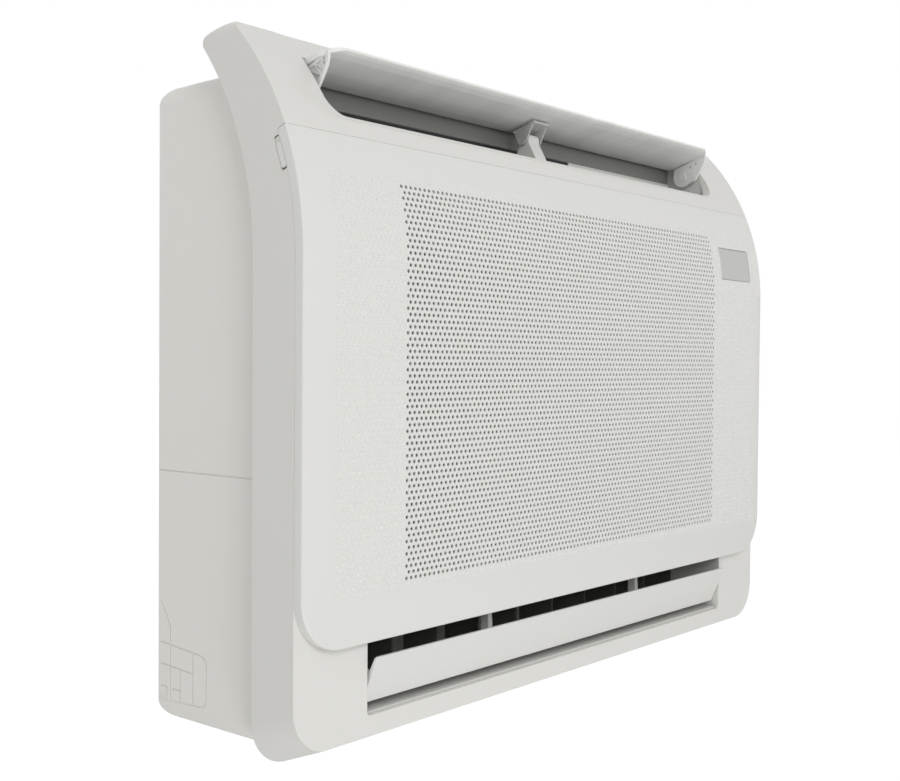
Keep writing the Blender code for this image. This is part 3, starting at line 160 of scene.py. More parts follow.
def bevelWhere(piece, test, width, segments):
    enter(piece, "EDGE", test)
    bpy.ops.mesh.bevel(
        offset=width, segments=segments, profile=0.5, affect="EDGES", clamp_overlap=False,
    )
    leave()


def modify(piece, kind, **settings):
    grab(piece)
    modifier = piece.modifiers.new(kind.title(), kind)
    for name, value in settings.items():
        setattr(modifier, name, value)
    bpy.ops.object.modifier_apply(modifier=modifier.name)


def repeat(piece, count, step):
    modify(
        piece, "ARRAY", count=count, use_relative_offset=False,
        use_constant_offset=True, constant_offset_displace=step,
    )


def roundEdges(piece, width, segments=2, angle=40):
    modify(
        piece, "BEVEL", width=width, segments=segments,
        limit_method="ANGLE", angle_limit=radians(angle), use_clamp_overlap=True,
    )


def combine(piece, others, operation="DIFFERENCE"):
    for other in others:
        modify(piece, "BOOLEAN", operation=operation, object=other, solver="EXACT")
        bpy.data.objects.remove(other)
    return piece


def copyOf(piece, name):
    other = piece.copy()
    other.data = piece.data.copy()
    other.name = other.data.name = name
    scene.collection.objects.link(other)
    return other


def named(piece, name):
    piece.name = piece.data.name = name
    return piece


def joined(pieces):
    grab(*pieces)
    bpy.ops.object.join()
    return bpy.context.object


def smoothOver(piece, angle=30, weighted=True):
    grab(piece)
    bpy.ops.object.shade_smooth_by_angle(angle=radians(angle))
    if weighted:
        modify(piece, "WEIGHTED_NORMAL", keep_sharp=True)


def settle(piece, body, finish, nodes=()):
    grab(piece)
    bpy.ops.transform.translate(value=(0, -unit["depth"], -unit["bracket"]))
    bpy.ops.object.transform_apply(location=True, rotation=True, scale=True)
    piece.data.materials.clear()
    piece.data.materials.append(finishes[finish])
    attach(piece, body)
    if nodes:
        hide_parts(*nodes)
    free()


# Bowed shapes: drawn flat, with z as the length up the face, then wrapped on the bow

def wrap(piece):
    mesh, radius = piece.data, bow["radius"]
    spots = np.empty(len(mesh.vertices) * 3)
    mesh.vertices.foreach_get("co", spots)
    spots = spots.reshape(-1, 3)
    over = spots[:, 2] > bow["start"]
    turn = (spots[over, 2] - bow["start"]) / radius
    reach = radius - spots[over, 1]
    spots[over, 1] = radius - reach * np.cos(turn)
    spots[over, 2] = bow["start"] + reach * np.sin(turn)
    mesh.vertices.foreach_set("co", spots.ravel())
    mesh.update()
    return piece


def length(height):
    # How far up the face a height lies.
    return bow["start"] + bow["radius"] * asin((height - bow["start"]) / bow["radius"])


def sliced(piece, low, high, step):
    # Cuts level loops, so that the piece can follow the bow.
    height = low
    while height < high:
        enter(piece, "FACE", everything)
        bpy.ops.mesh.bisect(plane_co=(0, 0, height), plane_no=(0, 0, 1))
        leave()
        height += step
    return piece


# Outlines and lofts

def arc(centre, radius, start, end, steps):
    spots = [radians(start + (end - start) * step / steps) for step in range(steps + 1)]
    return [(centre[0] + radius * cos(a), centre[1] + radius * sin(a)) for a in spots]


def rounded(half, low, high, lowCorner, highCorner, steps=12):
    return (
        arc((half - lowCorner, low + lowCorner), lowCorner, -90, 0, steps)
        + arc((half - highCorner, high - highCorner), highCorner, 0, 90, steps)
        + arc((highCorner - half, high - highCorner), highCorner, 90, 180, steps)
        + arc((lowCorner - half, low + lowCorner), lowCorner, 180, 270, steps)
    )


def climb(offset, radius, low, high, steps=16):
    # Points (y, z) up a bowed line from its straight foot.
    points = [(offset, low)] if low < bow["start"] else []
    start = max(low, bow["start"])
    for step in range(1 if points and high == start else 0, steps + 1):
        height = start + (high - start) * step / steps
        points.append((offset + radius - sqrt(radius ** 2 - (height - bow["start"]) ** 2), height))
    return points


def loft(name, rings):
    # Each ring is (outline of (x, z), depth); all have as many points.
    points, depth = rings[0]
    piece = polygon(name, len(points))
    for vert, (x, z) in zip(piece.data.vertices, points):
        vert.co = (x, depth, z)
    for outline, level in rings[1:]:
        enter(piece, "VERT", lambda p: near(p.y, depth))
        bpy.ops.mesh.extrude_region_move()
        leave()
        for vert in piece.data.vertices:
            if vert.select:
                away = [(x - vert.co.x) ** 2 + (z - vert.co.z) ** 2 for x, z in points]
                x, z = outline[away.index(min(away))]
                vert.co = (x, level, z)
        points, depth = outline, level
    tidyMesh(piece, 1e-7)
    return piece


def alongY(a, b):
    return near(a.x, b.x) and near(a.z, b.z)


def alongYAt(height):
    return lambda a, b: near(a.x, b.x) and near(a.z, height) and near(b.z, height)


print("helpers ready")


# Finishes

class Wire:
    def __init__(self, finish, socket):
        self.finish, self.socket = finish, socket

    def maths(self, operation, first, second):
        return self.finish.add("ShaderNodeMath", {"operation": operation}, {0: first, 1: second})

    def __add__(self, other):
        return self.maths("ADD", self, other)

    def __sub__(self, other):
        return self.maths("SUBTRACT", self, other)

    def __rsub__(self, other):
        return self.maths("SUBTRACT", other, self)

    def __mul__(self, other):
        return self.maths("MULTIPLY", self, other)

    __radd__ = __add__
    __rmul__ = __mul__


class Finish:
    def __init__(self, name, constants):
        self.material = bpy.data.materials.new(name)
        self.material.use_nodes = True
        self.tree = self.material.node_tree
        self.shader = self.tree.nodes["Principled BSDF"]
        for socket, value in constants.items():
            self.shader.inputs[socket].default_value = value

    def add(self, kind, settings=None, sockets=None, output=0):
        node = self.tree.nodes.new(kind)
        for name, value in (settings or {}).items():
            setattr(node, name, value)
        for name, value in (sockets or {}).items():
            if isinstance(value, Wire):
                self.tree.links.new(value.socket, node.inputs[name])
            else:
                node.inputs[name].default_value = value
        return Wire(self, node.outputs[output])

    def place(self):
        return self.add("ShaderNodeTexCoord", output="Object")

    def stretched(self, scale):
        sockets = {"Vector": self.place(), "Scale": scale}
        return self.add("ShaderNodeMapping", {}, sockets, "Vector")

    def noise(self, scale, detail=2.0, rough=0.5, vector=None):
        sockets = {"Vector": vector or self.place(), "Scale": scale, "Detail": detail, "Roughness": rough}
        return self.add("ShaderNodeTexNoise", {}, sockets, "Fac")

    def cells(self, scale, output):
        sockets = {"Vector": self.place(), "Scale": scale}
        return self.add("ShaderNodeTexVoronoi", {"feature": "F1"}, sockets, output)

    def blend(self, factor, first, second):
        return self.add("ShaderNodeMix", {"data_type": "RGBA"}, {0: factor, 6: first, 7: second}, 2)

    def ramp(self, value, low, high):
        sockets = {"Value": value, "From Min": low, "From Max": high}
        return self.add("ShaderNodeMapRange", {"clamp": True}, sockets, "Result")

    def bump(self, height, strength, distance):
        sockets = {"Height": height, "Strength": strength, "Distance": distance}
        return self.add("ShaderNodeBump", {}, sockets, "Normal")

    def feed(self, socket, wire):
        self.tree.links.new(wire.socket, self.shader.inputs[socket])
        return self


def tint(colour, amount=1.0):
    return (colour[0] * amount, colour[1] * amount, colour[2] * amount, 1.0)


def moulded(name, colour, rough, grain=0.12, grainScale=1500, spread=0.02, constants=None):
    # Injection moulded plastic: eroded grain of about half a millimetre, slow clouds of tone, fine scuffs.
    settings = {"IOR": 1.47, "Specular IOR Level": 0.5}
    settings.update(constants or {})
    finish = Finish(name, settings)
    fine = finish.noise(grainScale, 3.0, 0.6)
    cloud = finish.noise(7.0, 3.0, 0.55)
    scuff = finish.ramp(finish.noise(55.0, 6.0, 0.75), 0.52, 0.80)
    tone = finish.blend(cloud, tint(colour, 1 - spread), tint(colour, 1 + spread * 0.5))
    finish.feed("Base Color", finish.blend(scuff * 0.10, tone, tint(colour, 0.94)))
    finish.feed("Roughness", rough + (fine - 0.5) * 0.10 + scuff * 0.05)
    return finish.feed("Normal", finish.bump(fine, grain, 0.00006)).material


def metal(name, colour, rough, streak=(1, 1, 1)):
    finish = Finish(name, {"Metallic": 1.0})
    brushed = finish.noise(300.0, 4.0, 0.6, finish.stretched(streak))
    cloud = finish.noise(18.0, 4.0, 0.6)
    finish.feed("Base Color", finish.blend(cloud, tint(colour, 0.86), tint(colour)))
    finish.feed("Roughness", rough + (brushed - 0.5) * 0.25 + (cloud - 0.5) * 0.12)
    return finish.feed("Normal", finish.bump(brushed, 0.08, 0.0001)).material


def spangled(name, colour):
    # Galvanised sheet: crystals of a few millimetres, each with its own tone and gloss.
    finish = Finish(name, {"Metallic": 1.0})
    crystals = finish.cells(240.0, "Color")
    grey = finish.add("ShaderNodeSeparateColor", {}, {"Color": crystals}, 0)
    finish.feed("Base Color", finish.blend(grey, tint(colour, 0.78), tint(colour)))
    finish.feed("Roughness", 0.32 + grey * 0.18)
    return finish.feed("Normal", finish.bump(finish.noise(900.0), 0.05, 0.0001)).material


def circuitBoard(name):
    # Green lacquer with lighter tracks and round tinned pads.
    finish = Finish(name, {"IOR": 1.5})
    tracks = finish.add("ShaderNodeTexBrick", {}, {
        "Vector": finish.place(), "Scale": 180.0, "Mortar Size": 0.035,
        "Color1": (0.012, 0.10, 0.04, 1), "Color2": (0.016, 0.13, 0.05, 1), "Mortar": (0.05, 0.24, 0.10, 1),
    }, "Color")
    spots = finish.cells(260.0, "Distance")
    pads = 1.0 - finish.ramp(spots, 0.12, 0.16)
    finish.feed("Base Color", finish.blend(pads, tracks, (0.55, 0.56, 0.56, 1)))
    finish.feed("Roughness", 0.30 + finish.noise(40.0) * 0.2)
    return finish.feed("Normal", finish.bump(spots, 0.1, 0.0003)).material


def woven(name, colour, pitch):
    # Filter net: threads both ways, raised where they cross.
    finish = Finish(name, {"IOR": 1.45})
    place = finish.place()
    threads = []
    for direction in ("X", "Z"):
        settings = {"bands_direction": direction, "wave_profile": "SIN"}
        sockets = {"Vector": place, "Scale": 0.314 / pitch, "Distortion": 0.0}
        threads.append(finish.add("ShaderNodeTexWave", settings, sockets, "Fac"))
    net = threads[0].maths("MAXIMUM", *threads)
    finish.feed("Base Color", finish.blend(net, tint(colour, 0.35), tint(colour, 1.15)))
    finish.feed("Roughness", 0.75 - net * 0.2)
    return finish.feed("Normal", finish.bump(net, 0.5, 0.0004)).material


def streaked(name, colour, rough):
    # Thin moulding with faint light streaks across its width, painted into the colour as reflections; the
    # roughness rises a little along them.
    finish = Finish(name, {"IOR": 1.47, "Specular IOR Level": 0.5})
    streak_noise = finish.noise(1.0, 3.0, 0.6, finish.stretched((24.0, 1.2, 1.2)))
    lines = finish.ramp(streak_noise, 0.35, 0.75)
    fine = finish.noise(1500.0, 3.0, 0.6)
    # Painted reflection: the streaks lighten the base colour where glints would fall.
    finish.feed("Base Color", finish.blend(lines, tint(colour, 0.94), tint(colour, 1.04)))
    finish.feed("Roughness", rough + (fine - 0.5) * 0.10 + lines * 0.06)
    return finish.feed("Normal", finish.bump(fine, 0.10, 0.00006)).material


pane = {"grain": 0.02, "spread": 0.01, "constants": {"Specular IOR Level": 0.25}}
clearPart = {"grain": 0.02, "spread": 0.02, "constants": {"Transmission Weight": 0.55}}
finishes = {
    "white": moulded("panel white", (0.765, 0.763, 0.742), 0.42),
    "band": moulded("frame white", (0.758, 0.752, 0.726), 0.46),
    "casing": moulded("casing white", (0.835, 0.827, 0.796), 0.48, grain=0.22, grainScale=1100),
    "inner": moulded("duct white", (0.74, 0.74, 0.72), 0.50),
    # Painted shade: a dark grey for the plate at the back of the top mouth, standing in for the shadowed wall
    # under the open louver.
    "back": moulded("mouth painted shade grey", (0.24, 0.24, 0.225), 0.50),
    "black": moulded("blade black", (0.115, 0.115, 0.108), 0.42, grain=0.10, spread=0.12),
    # Painted shade: near black for the strip low in the top mouth, standing in for the shadowed gap into the
    # unit.
    "dark": moulded("mouth gap painted shade black", (0.012, 0.012, 0.012), 0.60, grain=0.10, spread=0.12),
    "filter": woven("filter net", (0.055, 0.058, 0.060), 0.0016),
    "foam": moulded("liner foam", (0.74, 0.74, 0.72), 0.85, grain=0.9, grainScale=420, spread=0.04),
    "board": circuitBoard("circuit board"),
    "zinc": spangled("zinc sheet", (0.62, 0.63, 0.64)),
    "screw": metal("screw steel", (0.58, 0.58, 0.57), 0.28),
    "fins": metal("fin aluminium", (0.68, 0.71, 0.74), 0.30, (1, 1, 30)),
    "copper": metal("copper pipe", (0.72, 0.36, 0.22), 0.28),
    "brass": metal("brass nut", (0.70, 0.52, 0.26), 0.28),
    "window": moulded("display window", (0.56, 0.57, 0.555), 0.42, **pane),
    # The louver white carries painted reflection streaks.
    "louver": streaked("louver white", (0.86, 0.86, 0.845), 0.40),
    "clear": moulded("clear clip", (0.80, 0.81, 0.80), 0.12, **clearPart),
}
slotFinish = {
    "white_plastic": "band", "casing_plastic": "casing", "window_plastic": "window",
    "clear_plastic": "clear", "duct_plastic": "inner", "black_plastic": "black",
    "filter_plastic": "filter", "foam_white": "foam", "board_green": "board",
    "zinc_steel": "zinc", "screw_steel": "screw", "fin_aluminium": "fins",
    "copper": "copper", "brass": "brass",
}
print("finishes ready:", len(finishes))


# Front panel: one sheet with a hexagonal field of holes, blind at both ends

panel = {
    "low": 0.1025, "high": 0.5305, "depth": 0.0092, "wall": 0.0026, "sheet": 0.0018,
    "corner": 0.045, "topRound": 0.0006, "edgeRound": 0.0018, "swing": 0.0052,
}
field = {
    "pitch": 0.00611, "row": 0.00531, "firstX": -0.2734, "firstZ": 0.1511,
    "columns": 90, "rows": 65, "blindLeft": 14, "blindRight": 17, "corners": 8,
}
hole = {"rim": 0.00196, "radius": 0.00170, "chamfer": 0.00026}
dimple = {"rim": 0.00194, "ledge": (0.00125, 0.00066), "floor": (0.00055, 0.00105)}
window = {
    "left": 0.2948, "right": 0.3690, "low": 0.4415, "high": 0.4802,
    "gap": 0.00035, "margin": 0.0024, "inset": 0.0002, "flange": 0.0040,
    "front": 0.0004, "seat": 0.00295, "back": 0.0042, "slice": 0.0032,
}


def growRing(tile, isRing, move):
    enter(tile, "VERT", isRing)
    bpy.ops.mesh.extrude_edges_move()
    leave()
    for vert in tile.data.vertices:
        if vert.select:
            vert.co = move(vert.co.copy())


def toBorder(p, depth):
    # Moves a ring's point out to the tile's border.
    across, up = (0 if abs(c) < tiny else (1 if c > 0 else -1) for c in (p.x, p.z))
    return Vector((field["pitch"] / 2 * across, depth, field["row"] / 2 * up))


def onBorder(p):
    return near(p.y, 0) and (near(abs(p.x), field["pitch"] / 2) or near(abs(p.z), field["row"] / 2))


def onRim(size, depth):
    return lambda p: abs(sqrt(p.x ** 2 + p.z ** 2) - size) < 2 * tiny and abs(p.y - depth) < 2 * tiny


def copyToBack():
    bpy.ops.mesh.duplicate_move(TRANSFORM_OT_translate={"value": (0, panel["sheet"], 0)})


def holeTile(name, rim, rings, through):
    # Sheet from the rim out to the border, and rings of (radius, depth) down from the rim.
    free()
    bpy.ops.mesh.primitive_circle_add(
        vertices=field["corners"], radius=rim, fill_type="NOTHING", rotation=(pi / 2, 0, 0),
    )
    tile = placed(name)
    growRing(tile, everything, lambda p: toBorder(p, 0.0))
    size, drop = rim, 0.0
    for inner, depth in rings:
        growRing(tile, onRim(size, drop), lambda p: Vector((p.x * inner / size, depth, p.z * inner / size)))
        size, drop = inner, depth
    if through:
        growRing(tile, onRim(size, drop), lambda p: toBorder(p, drop))
        return tile
    enter(tile, "VERT", onRim(size, drop))
    bpy.ops.mesh.edge_face_add()
    leave()
    enter(tile, "VERT", onBorder)
    copyToBack()
    bpy.ops.mesh.edge_face_add()
    leave()
    return tile


def halfTile(name):
    # Plain half tile that squares off a shifted row.
    halfX, halfZ = field["pitch"] / 2, field["row"] / 2
    free()
    bpy.ops.mesh.primitive_plane_add(size=1)
    tile = placed(name)
    for vert, (x, z) in zip(tile.data.vertices, ((0, -halfZ), (halfX, -halfZ), (0, halfZ), (halfX, halfZ))):
        vert.co = (x, 0, z)
    enter(tile, "EDGE", lambda a, b: near(a.x, b.x))
    bpy.ops.mesh.subdivide(number_cuts=1)
    leave()
    enter(tile, "FACE", everything)
    copyToBack()
    leave()
    return tile


def rowsOf(tile, name, columns, rows, x, z, shift=None):
    # Copies a tile over a field. With a shift, every second row stands aside by it.
    rowsMade = copyOf(tile, name)
    for vert in rowsMade.data.vertices:
        vert.co += Vector((x, 0, z))
    pitch, row = field["pitch"], field["row"]
    if shift:
        repeat(rowsMade, 2, (shift, 0, row))
        rows //= 2
    if columns > 1:
        repeat(rowsMade, columns, (pitch, 0, 0))
    if rows > 1:
        repeat(rowsMade, rows, (0, 0, 2 * row))
    return rowsMade


def closeField(sheet):
    # Merges the tiles and joins front and back sheet round their common outline.
    enter(sheet, "VERT", everything)
    bpy.ops.mesh.remove_doubles(threshold=4 * tiny)
    bpy.ops.mesh.select_all(action="DESELECT")
    bpy.context.tool_settings.mesh_select_mode = (False, True, False)
    bpy.ops.mesh.select_non_manifold(
        extend=False, use_wire=False, use_multi_face=False, use_non_contiguous=False, use_verts=False,
    )
    leave()
    mesh = sheet.data
    front = [v.co.y < tiny for v in mesh.vertices]
    chosen = [e.select and front[e.vertices[0]] and front[e.vertices[1]] for e in mesh.edges]
    deselect(mesh)
    mesh.edges.foreach_set("select", chosen)
    bpy.ops.object.mode_set(mode="EDIT")
    bpy.ops.mesh.extrude_edges_move(TRANSFORM_OT_translate={"value": (0, panel["sheet"], 0)})
    leave()
    tidyMesh(sheet, 4 * tiny)


def panelFields():
    pitch, row, columns, rows = field["pitch"], field["row"], field["columns"], field["rows"]
    x0, z0 = field["firstX"], field["firstZ"]
    low, last = z0 - row, z0 + (rows - 1) * row
    rings = [(hole["radius"], hole["chamfer"]), (hole["radius"], panel["sheet"])]
    pierced = holeTile("hole_tile", hole["rim"], rings, True)
    blind = holeTile("dimple_tile", dimple["rim"], [dimple["ledge"], dimple["floor"]], False)
    half = halfTile("half_tile")
    made = []
    share = columns // 3
    for number, side in enumerate(("left", "middle", "right")):
        x = x0 + share * number * pitch
        parts = [
            rowsOf(pierced, "holes", share, rows - 1, x, z0, pitch / 2),
            rowsOf(pierced, "last_holes", share, 1, x, last),
            rowsOf(blind, "below", share, 1, x + pitch / 2, low),
            rowsOf(blind, "above", share, 1, x + pitch / 2, last + row),
        ]
        made.append(named(joined(parts), "panel_perforation_" + side))
    leftCount, rightCount = field["blindLeft"], field["blindRight"]
    ends = (("left", leftCount, x0 - leftCount * pitch), ("right", rightCount, x0 + columns * pitch))
    for side, count, x in ends:
        parts = [
            rowsOf(blind, "dimples", count, rows + 1, x + pitch / 2, low, -pitch / 2),
            rowsOf(blind, "last_dimples", count, 1, x + pitch / 2, last + row),
        ]
        if side == "left":
            parts.append(rowsOf(half, "halves", 1, (rows + 3) // 2, x - pitch / 2, low))
        else:
            parts.append(rowsOf(half, "halves", 1, (rows + 1) // 2, x + (count - 0.5) * pitch, z0))
        made.append(named(joined(parts), "panel_dimples_" + side))
    for tile in (pierced, blind, half):
        bpy.data.objects.remove(tile)
    for sheet in made:
        closeField(sheet)
    return made


def windowBlock(name, grow, front, back):
    low = (window["left"] - grow, front, window["low"] - grow)
    return block(name, low, (window["right"] + grow, back, window["high"] + grow))


def windowCutter(name):
    return windowBlock(name, window["gap"], -0.01, 0.03)


def panelSurround():
    half, low, high, depth, wall = unit["half"], panel["low"], panel["high"], panel["depth"], panel["wall"]
    body = block("panel_surround", (-half, 0, low), (half, depth, high))
    isFront = lambda a, b: near(a.y, 0) and near(b.y, 0) and min(a.z, b.z) < high - 0.004
    bevelWhere(body, alongYAt(low), panel["corner"], 16)
    bevelWhere(body, alongYAt(high), panel["topRound"], 2)
    bevelWhere(body, isFront, panel["edgeRound"], 4)
    hollow = block("panel_hollow", (-half + wall, wall, low + wall), (half - wall, depth + 0.01, high - wall))
    bevelWhere(hollow, alongYAt(low + wall), panel["corner"] - wall, 16)
    pitch, row = field["pitch"], field["row"]
    left = field["firstX"] - (field["blindLeft"] + 0.5) * pitch
    right = field["firstX"] + (field["columns"] + field["blindRight"]) * pitch
    bottom, top = field["firstZ"] - 1.5 * row, field["firstZ"] + (field["rows"] + 0.5) * row
    room = block("panel_field", (left, -0.01, bottom), (right, 0.02, top))
    # The lower rear edge is slanted, so that the panel can tip.
    behind, under = depth + 0.001, low - 0.0002
    slant = [(depth - panel["swing"], under), (behind, low + 0.006), (behind, under)]
    swing = slab("panel_swing", slant, -past, past)
    combine(body, [hollow, room, windowCutter("window_opening"), swing])
    start = bottom
    while start < bow["start"] - row / 2:
        start += row / 2
    sliced(body, start, high, row / 2)
    tidyMesh(body, 5e-6)
    return body


def clearWindow(sheet):
    # Leaves the sheet plain in a narrow margin round the window.
    margin = window["margin"]
    for vert in sheet.data.vertices:
        x, y, z = vert.co
        level = window["low"] - margin < z < window["high"] + margin
        if level and window["left"] - margin < x < window["right"] + margin and y < dimple["floor"][1] + tiny:
            vert.co.y = 0.0


def frontPanel():
    sheets = panelFields()
    for sheet in sheets:
        if sheet.name == "panel_dimples_right":
            clearWindow(sheet)
            combine(sheet, [windowCutter("window_room")])
    for piece in sheets + [panelSurround()]:
        wrap(piece)
        smoothOver(piece, 30, weighted=False)
        settle(piece, "panel", "white", ["front_panel"])
        print("panel piece", piece.name, len(piece.data.polygons), "faces")


def displayWindow():
    lens = windowBlock("window_lens", -window["inset"], window["front"], window["back"])
    bevelWhere(lens, lambda a, b: near(a.y, window["front"]) and near(b.y, window["front"]), 0.0004, 2)
    combine(lens, [windowBlock("window_flange", window["flange"], window["seat"], window["back"])], "UNION")
    wrap(sliced(lens, window["low"] - window["flange"], window["high"] + window["flange"], window["slice"]))
    smoothOver(lens, 30)
    settle(lens, "panel", "window", ["display_window"])


frontPanel()
displayWindow()
print("panel ready")


# Front frame: side band, brow over the panel, flared mouth of the top outlet, lower outlet

shell = {
    "wall": 0.003, "foot": 0.0232, "footCorner": 0.040, "top": 0.6214, "topCorner": 0.012,
    "edge": 0.0012, "fineEdge": 0.0004, "seamLength": 0.5308, "room": 0.0095,
    "lipHalf": 0.362, "lipLow": 0.024, "lipHigh": 0.579, "skin": 0.0055,
    "crown": [
        (0.0850, 0.6173), (0.0885, 0.6198), (0.0925, 0.6210), (0.0970, 0.6204),
        (0.1085, 0.6165), (0.1180, 0.6130), (0.1228, 0.6106), (0.1248, 0.6080),
    ],
}
# Rings of the dish round the mouth: half width, lower edge, corner.
mouth = {
    "half": 0.3345, "low": 0.5462, "corner": 0.020, "end": 0.1806, "top": 0.70, "topCorner": 0.012,
    "flare": (0.375, 0.5425, 0.040), "brim": (0.344, 0.5447, 0.027), "ledge": 0.0010, "slack": 0.0002,
    "depths": (-0.008, 0.0, 0.0021, 0.0023, 0.0026), "slice": 0.005,
}
outlet = {"half": 0.312, "low": 0.0374, "high": 0.108, "corner": 0.004, "back": 0.0145}
intake = {"half": 0.284, "low": 0.1495, "high": 0.4905, "back": 0.032}
hinge = {"y": 0.0056, "z": 0.108, "radius": 0.0026, "bore": 0.0020, "inner": 0.3430, "outer": 0.3460}
frameScrews = {"x": 0.369, "heights": (0.1502, 0.4003), "bore": 0.0022}
latch = {
    "low": 0.4925, "length": 0.0275, "width": 0.006, "travel": 0.005, "slope": radians(20.5),
    "gap": 0.0003, "inner": 0.3865, "outer": 0.3970,
}


def throughView(name, half, lows, top, corner, topCorner):
    # What remains of the front view at the face and, lower down, behind it.
    front, rear = (rounded(half, low, top, corner, topCorner, 14) for low in lows)
    return loft(name, [(front, -0.001), (rear, bow["band"]), (rear, 0.22)])


def frameShell():
    half, foot = unit["half"], shell["foot"]
    face = climb(0.0, bow["radius"], foot, 0.6135, 26)
    rear = climb(bow["band"], bow["rear"], 0.0, 0.603, 26)
    body = slab("front_frame_shell", face + shell["crown"] + rear[::-1], -half, half)
    view = throughView("frame_view", half, (foot, 0.0), shell["top"], shell["footCorner"], shell["topCorner"])
    combine(body, [view], "INTERSECT")
    tidyMesh(body, 1e-5)
    roundEdges(body, shell["edge"], 3, 50)
    room = block("panel_room", (-past, -0.02, -0.02), (past, shell["room"], shell["seamLength"]))
    combine(body, [wrap(sliced(room, bow["start"], shell["seamLength"], 0.006))])
    roundEdges(body, shell["fineEdge"], 2, 50)
    return body


def frameHollow():
    half, wall = unit["half"] - shell["wall"], shell["wall"]
    lift = wall * 1.075
    face = climb(bow["face"] + wall, bow["radius"], 0.0183 + lift, 0.6030, 24)
    rear = climb(bow["band"] - wall, bow["rear"], lift, 0.6000, 24)
    deep = slab("frame_hollow", face + rear[::-1], -half, half)
    lows = (shell["foot"] + lift, lift)
    view = throughView("hollow_view", half, lows, 0.70, shell["footCorner"] - wall, shell["topCorner"])
    return combine(deep, [view], "INTERSECT")


def mouthRing(half, low, corner):
    return rounded(half, low, mouth["top"], corner, mouth["topCorner"])


def mouthCutters():
    half, low = mouth["half"], mouth["low"]
    rims = (mouth["flare"], mouth["brim"])
    flare, brim = (mouthRing(wide, length(edge), corner) for wide, edge, corner in rims)
    narrow = mouthRing(half - mouth["slack"], length(low) + mouth["ledge"], mouth["corner"])
    dish = loft("mouth_flare", list(zip((flare, flare, brim, narrow, narrow), mouth["depths"])))
    wrap(sliced(dish, length(mouth["flare"][1]) + 0.003, mouth["top"], mouth["slice"]))
    radius, end = bow["radius"], asin(mouth["end"] / bow["radius"])
    far = [(radius - r * cos(end), bow["start"] + r * sin(end)) for r in (radius - 0.012, radius + 0.006)]
    side = [(0.012, low), (0.050, low), *far, (0.012, far[1][1])]
    opening = slab("mouth_opening", side, -half, half)
    bevelWhere(opening, lambda a, b: alongY(a, b) and near(a.z, low), mouth["corner"], 10)
    return [dish, opening]


def framePorts():
    skin, deep = shell["skin"], intake["back"]
    lip = rounded(shell["lipHalf"], shell["lipLow"], shell["lipHigh"], 0.020, 0.006, 6)
    port = rounded(outlet["half"], outlet["low"], outlet["high"], outlet["corner"], outlet["corner"], 5)
    boardLow = (window["left"] + 0.0045, skin, window["low"] + 0.0045)
    boardHigh = (window["right"] - 0.0045, deep, window["high"] - 0.005)
    return [
        slab("rear_window", lip, 0.056, 0.150, "Y"),
        slab("outlet_port", port, skin, outlet["back"], "Y"),
        block("intake_port", (-intake["half"], skin, intake["low"]), (intake["half"], deep, intake["high"])),
        block("board_port", boardLow, boardHigh),
    ]


def latchLine():
    # Foot of the latch bar and the directions along and across it.
    foot = climb(bow["face"] + 0.0007 + latch["width"] / 2, bow["radius"], latch["low"], latch["low"])[-1]
    slope = latch["slope"]
    return Vector(foot), Vector((sin(slope), cos(slope))), Vector((cos(slope), -sin(slope)))


def latchOutline(low, high, half, corner=0.0, steps=5):
    foot, up, across = latchLine()
    flat = rounded(half, low, high, corner, corner, steps)
    if not corner:
        flat = [(-half, low), (half, low), (half, high), (-half, high)]
    return [tuple(foot + up * b + across * a) for a, b in flat]


def hingeAndLatchSeats(body, side):
    y, z, radius = hinge["y"], hinge["z"], hinge["radius"]
    rear = bow["face"] + 0.001
    lug = arc((y, z), radius, 90, 330, 12) + [(rear, z - 0.0013), (rear, z + radius)]
    low, high = pair(side, hinge["inner"], hinge["outer"])
    combine(body, [slab("hinge_lug", lug, low, high)], "UNION")
    combine(body, [bar("hinge_hole", (low - 0.002, y, z), (high + 0.002, y, z), hinge["bore"], 16)])
    room = latch["width"] / 2 + latch["gap"]
    seat = latchOutline(-0.0022, latch["length"] + 0.0003, room, 0.0016)
    travel = latchOutline(-0.0030, latch["length"] + latch["travel"] + latch["gap"], room)
    combine(body, [
        slab("latch_seat", seat, *pair(side, latch["inner"], 0.402)),
        slab("latch_travel", travel, *pair(side, latch["inner"], 0.3960)),
    ])


def frontFrame():
    body = frameShell()
    combine(body, [frameHollow()])
    combine(body, mouthCutters())
    combine(body, framePorts())
    for side in (-1, 1):
        hingeAndLatchSeats(body, side)
    tidyMesh(body, 2e-6)
    spots = [(x, z) for x in (-frameScrews["x"], frameScrews["x"]) for z in frameScrews["heights"]]
    holes = [bar("screw_hole", (x, 0.050, z), (x, 0.065, z), frameScrews["bore"], 16) for x, z in spots]
    combine(body, [joined(holes)])
    smoothOver(body, 30)
    settle(body, "housing", "band", ["front_frame"])
    print("frame ready:", len(body.data.polygons), "faces")


def latchBar(name, side):
    # A proud tab on a tongue, held behind the frame's side by a wider guide.
    long, half = latch["length"], latch["width"] / 2
    tabOutline = latchOutline(0.0, long - latch["travel"] - 0.0006, half, 0.0018)
    tab = slab(name, tabOutline, *pair(side, 0.3925, latch["outer"]))
    roundEdges(tab, 0.0009, 3, 50)
    tongueOutline = latchOutline(0.001, long, half - 0.0002, 0.0012)
    tongue = slab("latch_tongue", tongueOutline, *pair(side, 0.3919, 0.3956))
    roundEdges(tongue, 0.0004, 2, 50)
    guideOutline = latchOutline(-0.002, long + 0.002, half + 0.0022)
    guide = slab("latch_guide", guideOutline, *pair(side, 0.3909, 0.3928))
    combine(tab, [tongue, guide], "UNION")
    smoothOver(tab, 35)
    return tab


def latches():
    for name, side in (("left", -1), ("right", 1)):
        tab = latchBar("latch_bar_" + name, side)
        settle(tab, "latch_" + name, "white", ["panel_latch_" + name])


frontFrame()
latches()


# Rear casing

